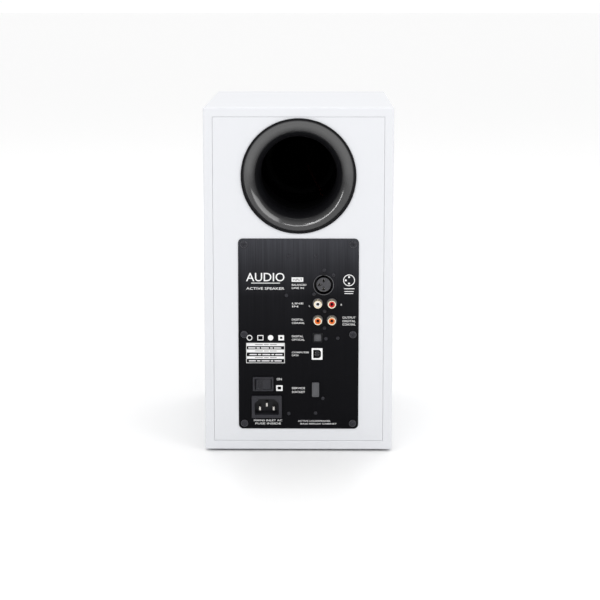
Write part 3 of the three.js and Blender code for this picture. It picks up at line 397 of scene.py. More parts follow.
def block(name, low, high):
    """A box from its lowest corner to its highest."""
    low, high = Vector(low), Vector(high)
    add = bpy.ops.mesh.primitive_cube_add
    return start(add, name, size=1, location=(low + high) / 2, scale=high - low)


def drum(name, centre, radius, y0, y1, sides=48):
    """A cylinder along Y."""
    place = (centre[0], (y0 + y1) / 2, centre[2])
    turn = (math.pi / 2, 0, 0)
    add = bpy.ops.mesh.primitive_cylinder_add
    return start(add, name, radius=radius, depth=abs(y1 - y0), vertices=sides, location=place, rotation=turn)


class Bench:
    """Edit mode on one piece, with what is worked on picked by its place or direction."""

    def __init__(self, piece):
        self.piece = piece

    def __enter__(self):
        activate(self.piece)
        bpy.ops.object.mode_set(mode="EDIT")
        bpy.ops.mesh.select_mode(type="VERT")
        bpy.ops.mesh.select_all(action="SELECT")
        return self

    def __exit__(self, *problem):
        bpy.ops.object.mode_set(mode="OBJECT")

    def pick(self, kind, test=lambda element: True):
        """Selects the faces, edges or verts that pass the test, and says how many there are."""
        mode = {"faces": "FACE", "edges": "EDGE", "verts": "VERT"}[kind]
        bpy.ops.mesh.select_mode(type=mode)
        bpy.ops.mesh.select_all(action="DESELECT")
        mesh = bmesh.from_edit_mesh(self.piece.data)
        chosen = [element for element in getattr(mesh, kind) if test(element)]
        for element in chosen:
            element.select_set(True)
        mesh.select_flush_mode()
        bmesh.update_edit_mesh(self.piece.data)
        return len(chosen)

    def pull(self, x=0.0, y=0.0, z=0.0):
        """Extrudes what is picked."""
        bpy.ops.mesh.extrude_region_move(TRANSFORM_OT_translate={"value": (x, y, z)})

    def inset(self, width, depth=0.0):
        """Insets what is picked, and raises it by depth."""
        bpy.ops.mesh.inset(thickness=width, depth=depth, use_even_offset=True)

    def round(self, width, segments=3):
        """Rounds the picked edges, or cuts them flat with one segment."""
        bpy.ops.mesh.bevel(offset=width, segments=segments, affect="EDGES", profile=0.5)

    def spin(self, axis_point, steps, sweep=FULL_TURN):
        """Spins everything about a line along Y."""
        bpy.ops.mesh.select_all(action="SELECT")
        centre = (axis_point[0], 0, axis_point[2])
        bpy.ops.mesh.spin(steps=steps, angle=sweep, center=centre, axis=(0, 1, 0), use_auto_merge=True)

    def turn(self, angle, centre, axis="Y"):
        """Turns everything about an axis through centre."""
        bpy.ops.mesh.select_all(action="SELECT")
        bpy.ops.transform.rotate(value=angle, orient_axis=axis, center_override=centre)

    def tidy(self):
        """Merges doubles, then points the faces outwards."""
        bpy.ops.mesh.select_all(action="SELECT")
        bpy.ops.mesh.remove_doubles(threshold=1e-6)
        bpy.ops.mesh.normals_make_consistent(inside=False)


def modify(piece, kind, **settings):
    """Adds a modifier and applies it."""
    activate(piece)
    modifier = piece.modifiers.new(kind.lower(), kind)
    for key, value in settings.items():
        setattr(modifier, key, value)
    bpy.ops.object.modifier_apply(modifier=modifier.name)
    return piece


def cut(piece, *cutters):
    """Takes the cutters out of the piece, and throws them away."""
    for cutter in cutters:
        modify(piece, "BOOLEAN", object=cutter, operation="DIFFERENCE", solver="EXACT")
        bpy.data.objects.remove(cutter)
    return piece


def soften(piece, width, segments=2, angle=35):
    """Breaks every sharp edge a little."""
    limit = math.radians(angle)
    settings = {"limit_method": "ANGLE", "angle_limit": limit, "harden_normals": False}
    return modify(piece, "BEVEL", width=width, segments=segments, use_clamp_overlap=True, **settings)


def smooth(piece, angle=40):
    activate(piece)
    bpy.ops.object.shade_smooth_by_angle(angle=math.radians(angle))
    modify(piece, "WEIGHTED_NORMAL", keep_sharp=True, weight=60)
    return piece


def spun_outline(name, profile, centre, steps, sweep=FULL_TURN):
    """An outline of (radius, y) drawn point by point and spun about a line along Y."""
    x, _, z = centre
    radius, y = profile[0]
    piece = start(bpy.ops.mesh.primitive_plane_add, name, size=MM, location=(x + radius, y, z))
    with Bench(piece) as bench:
        bpy.ops.mesh.merge(type="CENTER")
        for (r0, y0), (r1, y1) in zip(profile, profile[1:]):
            bench.pull(r1 - r0, y1 - y0)
        bench.spin(centre, steps, sweep)
    return piece


def turned(name, profile, centre, steps=96, sweep=FULL_TURN):
    """A round solid, from a closed outline."""
    piece = spun_outline(name, profile, centre, steps, sweep)
    with Bench(piece) as bench:
        bench.tidy()
    return smooth(piece, 30)


def arc(radius, depth, size, start_angle, end_angle, steps):
    """Points round a circle in a profile of (radius, y), angles in degrees."""
    angles = (math.radians(start_angle + (end_angle - start_angle) * i / steps) for i in range(steps + 1))
    return [(radius + size * math.cos(a), depth + size * math.sin(a)) for a in angles]


def outline(at, *points):
    """Points of (radius, depth) in mm, turned into metres by at, which places a depth."""
    return [(radius * MM, at(depth)) for radius, depth in points]


def dome_arc(reach, rise, base, steps):
    """The outline of a shallow dome in mm, from its crown out to reach, with its edge at base."""
    size = (reach * reach + rise * rise) / (2 * rise)
    half = math.degrees(math.asin(reach / size))
    return arc(0, base - rise + size, size, -90, -90 + half, steps)


def walled(points, wall):
    """An open outline given a wall behind it, measured along Y."""
    return [*points, *((radius, y + wall) for radius, y in reversed(points))]


def closed(profile):
    return [*profile, profile[0]]


def copy_of(piece, name, shift):
    """A copy with its own mesh, moved by shift."""
    twin = piece.copy()
    twin.data = piece.data.copy()
    twin.name = twin.data.name = name
    bpy.context.collection.objects.link(twin)
    activate(twin)
    twin.location = shift
    bpy.ops.object.transform_apply(location=True, rotation=True, scale=True)
    return twin


def joined(name, pieces):
    """Joins pieces into one, named anew."""
    activate(*pieces)
    bpy.ops.object.join()
    whole = bpy.context.object
    whole.name = whole.data.name = name
    return whole


def finish(piece, slot, body="cabinet", stands_for=(), looks=None):
    """Gives a piece its material and its body, and hides the CAD nodes that it stands for."""
    piece.data.materials.clear()
    piece.data.materials.append((EXTRA[looks] if looks else FINISHES[slot]).material)
    if stands_for:
        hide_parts(*stands_for)
    if body:
        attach(piece, body)
    return piece


def facing(side):
    """Picks faces that look along Y, towards side."""
    return lambda face: face.normal.y * side > 0.9


def at_depth(y):
    """Picks faces or edges that lie on the plane at y."""
    return lambda element: all(abs(vertex.co.y - y) < TOUCH for vertex in element.verts)


def run_in(edge):
    """How far an edge runs along Y."""
    return abs((edge.verts[0].co - edge.verts[1].co).y)


# ---------------------------------------------------------------- cabinet

WRAP_LOW, WRAP_HIGH = corners("cabinet_wrap")
FRONT_Y, REAR_Y = WRAP_LOW.y, WRAP_HIGH.y
LIP = 9.3 * MM  # the wall's edge that shows round an end board
WALL = 16 * MM
SEAM = 0.35 * MM  # how far the edges at a seam are broken
EDGE = 1.6 * MM  # the radius on the outer edges


def from_front(depth):
    """Y at a depth in mm behind the cabinet's front."""
    return FRONT_Y + depth * MM


def cabinet_wrap():
    """One folded board: a rounded box, opened at both ends, with a rebate for each end board."""
    piece = block("cabinet_shell", WRAP_LOW, WRAP_HIGH)
    ends = ((1, REAR_Y - corners("rear_baffle")[0].y), (-1, corners("front_baffle")[1].y - FRONT_Y))
    with Bench(piece) as bench:
        bench.pick("edges")
        bench.round(EDGE, 5)
        for side, board in ends:
            bench.pick("faces", at_depth(REAR_Y if side > 0 else FRONT_Y))
            bench.inset(LIP - EDGE - SEAM)
            bench.inset(SEAM, -SEAM)
            bench.pull(y=-side * (board - SEAM))
            bench.inset(WALL - LIP)
            bpy.ops.mesh.delete(type="FACE")
        bench.pick("edges", lambda edge: edge.is_boundary)
        bpy.ops.mesh.bridge_edge_loops()
        bench.tidy()
    smooth(piece, 50)
    finish(piece, "lacquered_board", stands_for=["cabinet_wrap"])
    # Painted shade: the wrap's inner faces are made matt black.
    hub = middle("cabinet_wrap")
    reach = WRAP_HIGH - hub - Vector.Fill(3, WALL - 0.4 * MM)
    paint_shade_inside(piece, lambda face: all(abs((face.center - hub)[i]) < reach[i] for i in (0, 2)))


def paint_shade_inside(piece, inside):
    """Gives the faces that pass the test a matt black, as painted shade where light does not reach."""
    piece.data.materials.append(EXTRA["matt_black_and_shade"].material)
    for face in piece.data.polygons:
        if inside(face):
            face.material_index = 1


def end_board(name, node, side, cutters):
    """An end board with a broken edge that shows as a fine seam, cut for what it carries."""
    low, high = corners(node)
    piece = block(name, low, high)
    outer = high.y if side > 0 else low.y
    with Bench(piece) as bench:
        bench.pick("edges", at_depth(outer))
        bench.round(SEAM, 2)
    cut(piece, *cutters)
    smooth(piece, 50)
    finish(piece, "lacquered_board", stands_for=[node])
    # Painted shade: every face of the board away from its outer face is made matt black.
    paint_shade_inside(piece, lambda face: abs(face.center.y - outer) > 0.5 * MM)


def rear_board():
    """The rear board, with a shallow seat and a window for the amplifier plate, and the port's hole."""
    plate_low, plate_high = corners("amp_plate")
    gap, ledge, corner = 0.2 * MM, 8.5 * MM, 4.6 * MM
    inside, outside = from_front(200), REAR_Y + 10 * MM
    low = (plate_low.x - gap, corners("amp_gasket")[0].y - 0.1 * MM, plate_low.z - gap)
    seat = block("seat", low, (plate_high.x + gap, outside, plate_high.z + gap))
    with Bench(seat) as bench:
        bench.pick("edges", lambda edge: run_in(edge) > MM)
        bench.round(corner, 8)
    low = (plate_low.x + ledge, inside, plate_low.z + ledge)
    window = block("window", low, (plate_high.x - ledge, outside, plate_high.z - ledge))
    hole = drum("hole", middle("port_flare"), 52 * MM, inside, outside, 96)
    end_board("rear_board", "rear_baffle", 1, (seat, window, hole))


def front_board():
    """The front board, with a seat and a hole for each driver."""
    cutters = []
    drivers = (("woofer_basket", 80.2, 4.1, 73), ("tweeter_faceplate", 52.2, 3.9, 41))
    for node, flange, sunk, hole in drivers:
        centre = middle(node)
        outside = from_front(-20)
        cutters.append(drum("seat", centre, flange * MM, outside, from_front(sunk), 128))
        cutters.append(drum("hole", centre, hole * MM, outside, from_front(50), 96))
    end_board("front_board", "front_baffle", -1, cutters)


def feet():
    """Low rubber feet with a rounded edge and a dished underside."""
    for spot in ("front_left", "front_right", "rear_left", "rear_right"):
        node = f"foot_{spot}"
        low, high = corners(node)
        centre = (low + high) / 2
        radius = (high.x - low.x) / 2

        def on_lower_rim(edge):
            return all(v.co.z < centre.z and (v.co - centre).xy.length > radius - TOUCH for v in edge.verts)

        how = {"radius": radius, "depth": high.z - low.z, "vertices": 64, "location": centre}
        foot = start(bpy.ops.mesh.primitive_cylinder_add, f"rubber_{node}", **how)
        with Bench(foot) as bench:
            bench.pick("faces", lambda face: face.normal.z < -0.9)
            bench.inset(2 * MM)
            bench.inset(0.6 * MM, -0.5 * MM)
            bench.pick("edges", on_lower_rim)
            bench.round(0.5 * MM, 3)
        smooth(foot, 45)
        finish(foot, "rubber", stands_for=[node])


# ---------------------------------------------------------------- bass port


PORT_THROAT = 38.5 * MM
PORT_WALL = 2.2 * MM


def bass_port():
    """The flared mouth, rolled over at its rim, and the tube behind it, belled at its inner end."""
    centre = middle("port_flare")
    flare, lip, proud = 18 * MM, 1.2 * MM, 2 * MM
    roll = PORT_THROAT + flare
    depth = REAR_Y - flare + proud
    neck, seat = REAR_Y - 45 * MM, REAR_Y + 0.1 * MM
    mouth = [
        (PORT_THROAT + PORT_WALL, neck),
        (PORT_THROAT, neck),
        *arc(roll, depth, flare, 180, 90, 40),
        *arc(roll, REAR_Y + proud - lip, lip, 80, 0, 8),
        (roll + lip, seat),
        (51.8 * MM, seat),
        *arc(roll, depth, flare - PORT_WALL, 100, 180, 24)[4:],
    ]
    finish(turned("bass_port_flare", closed(mouth), centre, 160), "port_plastic", stands_for=["port_flare"])

    low, high = corners("port_tube")
    inner, wall, bell = PORT_THROAT + PORT_WALL + 0.2 * MM, 2.3 * MM, 9 * MM
    end = low.y + bell
    tube = [
        (inner, high.y),
        *arc(inner + bell, end, bell, 180, 255, 14),
        *arc(inner + bell, end, bell - wall, 255, 180, 14),
        (inner + wall, high.y),
    ]
    pipe = turned("bass_port_tube", closed(tube), centre, 128)
    finish(pipe, "port_plastic", stands_for=["port_tube"], looks="matt_black_and_shade")


# ---------------------------------------------------------------- rings and screws


def ring(name, inner, outer, y0, y1, centre, edge=0.4, steps=96):
    """A flat ring with its four corners rounded."""
    e = edge * MM
    profile = [
        *arc(inner + e, y0 + e, e, 270, 180, 3),
        *arc(inner + e, y1 - e, e, 180, 90, 3),
        *arc(outer - e, y1 - e, e, 90, 0, 3),
        *arc(outer - e, y0 + e, e, 0, -90, 3),
    ]
    return turned(name, closed(profile), centre, steps)


def screw_head(name, centre, seat, radius, height, side):
    """A domed head that stands on seat, in Y, and faces side. Its underside is sunk out of sight."""
    sunk = seat - side * 1.2 * MM
    dome = [
        (radius * math.cos(a), seat + side * height * (0.35 + 0.65 * math.sin(a)))
        for a in (math.radians(15 * step) for step in range(7))
    ]
    profile = [(0, sunk), (radius * 0.96, sunk), (radius, seat), *dome]
    return turned(name, closed(profile), centre, 40)


def hex_screw(name, centre, seat, radius, height):
    """A screw with a six-sided recess, facing forwards."""
    screw = screw_head(name, centre, seat, radius, height, -1)
    tip = seat - height
    cut(screw, drum("recess", centre, radius * 0.46, tip + height * 0.75, tip - MM, 6))
    smooth(screw, 35)
    return finish(screw, "black_steel")


def cross_screw(name, centre, seat, radius, height):
    """A screw with a cross recess, facing backwards."""
    screw = screw_head(name, centre, seat, radius, height, 1)
    tip = seat + height
    arm = radius * 0.62
    for wide, tall in ((arm, arm * 0.26), (arm * 0.26, arm)):
        low = (centre.x - wide, tip - height * 0.6, centre.z - tall)
        cut(screw, block("recess", low, (centre.x + wide, tip + MM, centre.z + tall)))
    smooth(screw, 35)
    return finish(screw, "black_steel")


def round_screws(name, count, first, centre, reach, seat, radius, height):
    """Equal screws round a driver's flange, from an angle given as a share of the pitch."""
    for i in range(count):
        angle = FULL_TURN * (i + first) / count
        spot = centre + Vector((reach * math.sin(angle), 0, reach * math.cos(angle)))
        hex_screw(f"{name}_{i + 1}", spot, seat, radius, height)


# ---------------------------------------------------------------- woofer

SECTORS = 24


def rubber_surround(profile, centre):
    """The half roll in equal sectors."""
    first = turned("woofer_surround_sector_1", profile, centre, 6, FULL_TURN / SECTORS)
    with Bench(first) as bench:
        bench.pick("edges", lambda edge: edge.is_boundary)
        bpy.ops.mesh.edge_face_add()
        bench.tidy()
    smooth(first, 50)
    sectors = [first]
    for i in range(1, SECTORS):
        sector = copy_of(first, f"woofer_surround_sector_{i + 1}", (0, 0, 0))
        with Bench(sector) as bench:
            bench.turn(FULL_TURN * i / SECTORS, centre)
        sectors.append(sector)
    for i, sector in enumerate(sectors):
        finish(sector, "rubber", body=None, stands_for=["woofer_surround"] if i == 0 else ())
        points = [vertex.co for vertex in sector.data.vertices]
        outward = sum(points, Vector()) / len(points) - centre
        outward = Vector((outward.x, 0, outward.z)).normalized()
        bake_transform(sector)


def woofer_frame(centre):
    """The cast frame: a stepped flange, a tapered basket with six windows, and a floor for the magnet."""
    section = outline(
        from_front,
        (64, 4.4), (64, 2.4), (64.5, 1.9), (68.6, 1.9), (68.8, 1.6), (68.8, 0.3), (69.2, -0.05),
        (70.4, -0.25), (76, -0.25), (78.4, 0.0), (79.6, 0.5), (80, 1.4), (80, 4.0), (72, 4.0),
        (52.5, 38.5), (50.5, 52), (19.1, 52), (19.1, 49.5), (48, 49.5), (49, 41.5), (44, 41.5),
        (44, 39.5), (50, 39.5), (68.5, 6.0),
    )
    frame_piece = turned("woofer_cast_frame", closed(section), centre, 144)
    windows = 6
    wide, near, far = 14 * MM, 38 * MM, 90 * MM
    for i in range(windows):
        low = (centre.x - wide, from_front(9), centre.z + near)
        window = block("window", low, (centre.x + wide, from_front(35.5), centre.z + far))
        with Bench(window) as bench:
            bench.pick("verts", lambda vertex: vertex.co.z > centre.z + (near + far) / 2)
            bpy.ops.transform.resize(value=(2.6, 1, 1), center_override=centre)
            bench.turn(FULL_TURN * (i + 0.5) / windows, centre)
        cut(frame_piece, window)
    smooth(frame_piece, 35)
    finish(frame_piece, "cast_frame", stands_for=["woofer_basket"])


def woofer_surround(centre):
    """A half roll of rubber between two flat lips, glued to the cone and to the flange."""
    middle_radius, height, size, wall = 58.5, 1.7, 5.5, 0.8
    section = outline(
        from_front,
        (68.6, 1.7), (64.2, 1.7),
        *arc(middle_radius, height, size, 0, -180, 20)[1:-1],
        (52.6, 1.7), (48.8, 1.9), (48.6, 1.4), (51.6, 0.9),
        *arc(middle_radius, height, size + wall, -172, -8, 24),
        (65.6, 0.9), (68.3, 0.9), (68.6, 1.2),
    )
    rubber_surround(closed(section), centre)


def woofer_cone(centre):
    """A shallow alloy cone that bows forwards a little between its neck and its edge."""
    neck, edge, deep, rise, bow, wall, steps = 17.0, 52.8, 28, 25.6, 0.72, 1.3, 24
    shares = [step / steps for step in range(steps + 1)]
    curve = outline(
        from_front,
        *((neck + (edge - neck) * t, deep - rise * t - bow * math.sin(math.pi * t)) for t in shares),
    )
    skin = turned("woofer_alloy_cone", closed(walled(curve, wall * MM)), centre, 144)
    finish(skin, "cone_metal", "woofer_moving", ["woofer_cone"])
    crown = outline(from_front, *dome_arc(19.5, 6.5, 24.4, 14))
    cap = turned("woofer_dust_cap_shell", closed(walled(crown, 1.0 * MM)), centre, 96)
    finish(cap, "cone_metal", "woofer_moving", ["woofer_dust_cap"])


def woofer():
    centre = middle("woofer_basket")
    woofer_frame(centre)
    woofer_surround(centre)
    woofer_cone(centre)
    round_screws("woofer_screw", 6, 0.5, centre, 74 * MM, from_front(-0.25), 3.4 * MM, 1.6 * MM)


# ---------------------------------------------------------------- tweeter


def tweeter_plate(centre):
    """The face plate, dished into a shallow horn."""
    throat, mouth, deep, flare, steps = 15.8, 47.0, 6.5, 1.7, 28
    shares = [step / steps for step in range(steps + 1)]
    section = outline(
        from_front,
        (throat, 8.6),
        *((throat + (mouth - throat) * t, deep * (1 - t) ** flare) for t in shares),
        (48.2, -0.1), (51.2, 0.0), (51.8, 0.3), (52, 0.9), (52, 3.8), (39, 3.8), (39, 8.6),
    )
    finish(turned("tweeter_horn_plate", closed(section), centre, 128), "black_plastic",
           stands_for=["tweeter_faceplate"])


def tweeter_dome(centre):
    """The alloy dome, and the small roll that carries it."""
    crown = outline(from_front, *dome_arc(12.6, 4.4, 9.2, 16))
    dome = turned("tweeter_alloy_dome", closed(walled(crown, 0.5 * MM)), centre, 96)
    finish(dome, "dome_metal", "tweeter_moving", ["tweeter_dome"])
    roll = outline(
        from_front,
        *arc(14.2, 8.7, 1.4, -180, 0, 12),
        (19, 8.7), (19, 9.3),
        *arc(14.2, 9.1, 1.0, 0, -180, 12),
    )
    surround = turned("tweeter_cloth_surround", closed(roll), centre, 96)
    finish(surround, "rubber", stands_for=["tweeter_surround"])


def tweeter_guard(centre):
    """A domed wire mesh over the dome: rings and spokes of thin wire."""
    low, high = corners("tweeter_guard")
    reach, rise, wire = (high.x - low.x) / 2, 3.8 * MM, 0.42 * MM
    size = (reach * reach + rise * rise) / (2 * rise)
    half = math.degrees(math.asin(reach / size))
    shell = arc(0, low.y + size, size, -89.2, -90 + half, 9)
    guard = spun_outline("tweeter_guard_mesh", shell, centre, 48)
    with Bench(guard):
        bpy.ops.mesh.remove_doubles(threshold=1e-6)
    modify(guard, "WIREFRAME", thickness=wire, use_boundary=True, use_even_offset=False)
    smooth(guard, 60)
    finish(guard, "black_steel", stands_for=["tweeter_guard"])


def tweeter():
    centre = middle("tweeter_faceplate")
    tweeter_plate(centre)
    tweeter_dome(centre)
    tweeter_guard(centre)
    round_screws("tweeter_screw", 3, 0, centre, 49.4 * MM, from_front(0), 2.2 * MM, 1.1 * MM)


# ---------------------------------------------------------------- amplifier panel

PLATE_LOW, PLATE_HIGH = corners("amp_plate")
PANEL_Y = PLATE_HIGH.y
RIM_BACK = PANEL_Y + 0.1 * MM  # where rims and covers rest on the plate


def from_panel(depth):
    """Y at a depth in mm behind the plate's face."""
    return PANEL_Y - depth * MM


def rounded_slab(name, low, high, corner, bevel=0.0, segments=8, side=1):
    """A slab facing Y with rounded corners and, on the side that shows, a broken edge."""
    slab = block(name, low, high)
    with Bench(slab) as bench:
        bench.pick("edges", lambda edge: run_in(edge) > 0.9 * abs(high[1] - low[1]))
        bench.round(corner, segments)
        if bevel:
            bench.pick("faces", facing(side))
            bench.round(bevel, 3)
    return slab


def amp_plate():
    """The brushed plate, with a hole for each socket."""
    plate = rounded_slab("amplifier_plate", PLATE_LOW, PLATE_HIGH, 4.5 * MM, 0.35 * MM)
    inside, outside = PLATE_LOW.y - 10 * MM, PANEL_Y + 10 * MM
    cutters = [drum("hole", middle("xlr_socket"), 10 * MM, inside, outside, 64)]
    for node in ("coax_in", "coax_out", "line_left", "line_right"):
        cutters.append(drum("hole", middle(f"rca_jack_{node}"), 3.9 * MM, inside, outside, 32))
    # How far each square hole lies inside its socket's outline: a socket with a rim hides its hole.
    trims = {
        "optical_socket": -0.2, "usb_socket": -0.2, "service_socket": -0.2,
        "power_switch_frame": 0.8, "mains_inlet": 1.6,
    }
    for node, trim in trims.items():
        low, high = corners(node)
        low, high = low + Vector.Fill(3, trim * MM), high - Vector.Fill(3, trim * MM)
        cutters.append(block("hole", (low.x, inside, low.z), (high.x, outside, high.z)))
    cut(plate, *cutters)
    smooth(plate, 40)
    finish(plate, "black_anodised", stands_for=["amp_plate"])


def plate_screws():
    """Six screws, each a head with a cross recess, a paler collar that also paints the highlight on the
    head's rim, and a pointed shank.
    """
    head, collar_radius, shank_radius = 3.3 * MM, 3.6 * MM, 1.9 * MM
    for i in range(1, 7):
        node = f"amp_screw_{i}"
        centre = middle(node)
        name = f"plate_screw_{i}"
        cross_screw(name, centre, PANEL_Y + 0.05 * MM, head, 1.6 * MM)
        # Painted highlight: a collar of paler steel round the head stands for the bright rim of the head.
        rim_highlight_collar = ring(f"{name}_collar", head, collar_radius, PANEL_Y, PANEL_Y + 0.5 * MM, centre, 0.12, 48)
        finish(rim_highlight_collar, "black_steel", looks="dull_steel")
        shank = drum(f"{name}_shank", centre, shank_radius, corners(node)[0].y, PANEL_Y, 24)
        with Bench(shank) as bench:
            bench.pick("faces", facing(-1))
            bench.inset(0.9 * MM, 0.8 * MM)
        smooth(shank, 40)
        finish(shank, "black_steel", stands_for=[node])


# Where the small fixing screws sit on the plate: x and z in mm.
FIXINGS = (
    (9.8, 201.6), (-17.4, 201.6), (12.2, 161.6), (9.9, 39.7), (-17.3, 40.3), (-25.9, 187.2), (-35.3, 182.2),
    (-15.6, 162.7), (-26.3, 145.3), (-26.2, 128.2), (-27.7, 117.2), (-39.7, 117.8), (-24.7, 55.6),
)


def fixing_screws():
    """Small screws that hold the sockets and the parts behind the plate."""
    spots = [Vector((x * MM, PANEL_Y, z * MM)) for x, z in FIXINGS]
    first = cross_screw("fixing_screw_1", spots[0], from_panel(0.1), 1.75 * MM, 0.9 * MM)
    for i, spot in enumerate(spots[1:], 2):
        finish(copy_of(first, f"fixing_screw_{i}", spot - spots[0]), "black_steel")


def xlr_socket():
    """The round balanced socket: a shell, its trim of paler steel that also paints the highlight on the
    shell's rim, an insert with three contacts, and a release tab.
    """
    centre = middle("xlr_socket")
    shell = outline(
        from_panel,
        (9.3, 10.4), (9.3, 0.2), (9.5, -0.25), (9.9, -0.35), (10.3, -0.2),
        (10.4, 0.0), (9.8, 0.05), (9.8, 12.4), (0, 12.4), (0, 10.4),
    )
    body = turned("balanced_socket_shell", closed(shell), centre, 96)
    finish(body, "black_plastic", stands_for=["xlr_socket"])
    # Painted highlight: a thin ring of paler steel round the shell's rim.
    trim_back, trim_front = from_panel(0.1), from_panel(-0.45)
    trim = ring("balanced_socket_rim_highlight_trim", 9.75 * MM, 10.35 * MM, trim_back, trim_front, centre, 0.2, 96)
    finish(trim, "black_plastic", looks="dull_steel")

    face = 0.62
    core = outline(
        from_panel,
        (0, 10.3), (7.35, 10.3), (7.35, 0.9), (7.1, 0.5), (6.7, 0.35), (6.3, 0.5), (6.1, face), (0, face),
    )
    insert = turned("balanced_socket_insert", closed(core), centre, 96)
    pitch, bore = 4.3 * MM, 1.35 * MM
    # Seen from behind: one contact above, one below, and one towards the middle of the plate.
    spots = [centre + Vector(way) * pitch for way in ((0, 0, 1), (1, 0, 0), (0, 0, -1))]
    for spot in spots:
        cut(insert, drum("hole", spot, bore, from_panel(9), from_panel(-1), 32))
    smooth(insert, 35)
    finish(insert, "black_plastic", looks="insert_grey")

    # Painted shade: the walls of the contact holes, down to the contacts, are made matt black.
    def painted_shade_in_holes(polygon):
        at = polygon.center
        near = any((at - spot).xz.length < bore + 0.15 * MM for spot in spots)
        return near and at.y < from_panel(face + 0.08)

    paint_shade_inside(insert, painted_shade_in_holes)
    for i, spot in enumerate(spots, 1):
        name = f"balanced_socket_contact_{i}"
        sleeve = ring(name, 0.8 * MM, 1.25 * MM, from_panel(8.6), from_panel(4.2), spot, 0.12, 32)
        finish(sleeve, "gold_plate", looks="nickel")

    latch = centre.z + 10.9 * MM
    low = (centre.x - 2.6 * MM, from_panel(1), latch - 1.2 * MM)
    high = (centre.x + 2.6 * MM, from_panel(-0.5), latch + 1.4 * MM)
    tab = rounded_slab("balanced_socket_release", low, high, 0.6 * MM, 0.2 * MM, 4)
    smooth(tab, 40)
    finish(tab, "black_plastic")


JACKS = {
    "coax_in": "jack_orange", "coax_out": "jack_orange", "line_left": "jack_white", "line_right": "jack_red",
}


def rca_jacks():
    """Four phono jacks, each a plated sleeve, a coloured insert, a contact and a washer."""
    under = PANEL_Y + 0.05 * MM
    for name, colour in JACKS.items():
        node = f"rca_jack_{name}"
        low, high = corners(node)
        centre = middle(node)

        def from_tip(depth):
            return high.y - depth * MM

        floor = 8.6
        sleeve = [
            *outline(
                from_tip,
                (2.85, floor), (2.85, 0.6), (3.05, 0.15), (3.5, 0), (4.0, 0.12), (4.15, 0.5),
                (4.15, 3.4), (3.95, 3.6), (3.95, 4.1), (4.15, 4.3),
            ),
            (4.15 * MM, under + 1.3 * MM), (3.8 * MM, under + 0.9 * MM), (3.7 * MM, low.y), (0, low.y),
            (0, from_tip(floor)),
        ]
        shell = turned(f"{node}_sleeve", closed(sleeve), centre, 72)
        finish(shell, "gold_plate", stands_for=[node])

        # Painted shade: the sleeve's bore, deeper than 4 mm, is made matt black.
        def painted_shade_in_bore(polygon):
            at = polygon.center
            return at.y < from_tip(4) and (at - centre).xz.length < 2.9 * MM

        paint_shade_inside(shell, painted_shade_in_bore)
        core = outline(
            from_tip, (1.65, 8.5), (1.65, 0.75), (1.8, 0.55), (2.6, 0.5), (2.82, 0.65), (2.82, 8.5)
        )
        finish(turned(f"{node}_insert", closed(core), centre, 64), "gold_plate", looks=colour)
        contact = ring(f"{node}_contact", 1.05 * MM, 1.5 * MM, from_tip(8.2), from_tip(4.4), centre, 0.12, 32)
        finish(contact, "gold_plate", looks="dull_steel")
        washer = ring(f"{node}_washer", 3.85 * MM, 5.1 * MM, under, under + 1.2 * MM, centre, 0.3, 48)
        finish(washer, "gold_plate", looks="dull_steel")


def framed_mouth(name, node, mouth, depth, bevel, slot, looks=None, corner=0.4):
    """A square socket body with rounded corners, cut out by its mouth to the given depth. Sizes in mm."""
    low, high = corners(node)
    body = rounded_slab(name, low, high, corner * MM, bevel * MM, 3)
    centre = (low + high) / 2
    wide, tall = (size / 2 * MM for size in mouth)
    low = (centre.x - wide, high.y - depth * MM, centre.z - tall)
    cut(body, rounded_slab("mouth", low, (centre.x + wide, high.y + MM, centre.z + tall), 0.25 * MM, 0, 3))
    smooth(body, 40)
    return finish(body, slot, stands_for=[node], looks=looks)


def optical_socket():
    """The square optical socket and its sprung flap, with a shallow panel sunk in it."""
    framed_mouth("optical_socket_frame", "optical_socket", (7.4, 7.4), 9.6, 0.3, "black_plastic")
    low, high = corners("optical_shutter")
    flap = rounded_slab("optical_socket_flap", low, high, 0.3 * MM, 0.12 * MM, 3)
    with Bench(flap) as bench:
        bench.pick("faces", facing(1))
        bench.inset(0.9 * MM)
        bench.inset(0.35 * MM, -0.25 * MM)
    smooth(flap, 35)
    finish(flap, "grey_rubber", "shutter", ["optical_shutter"])


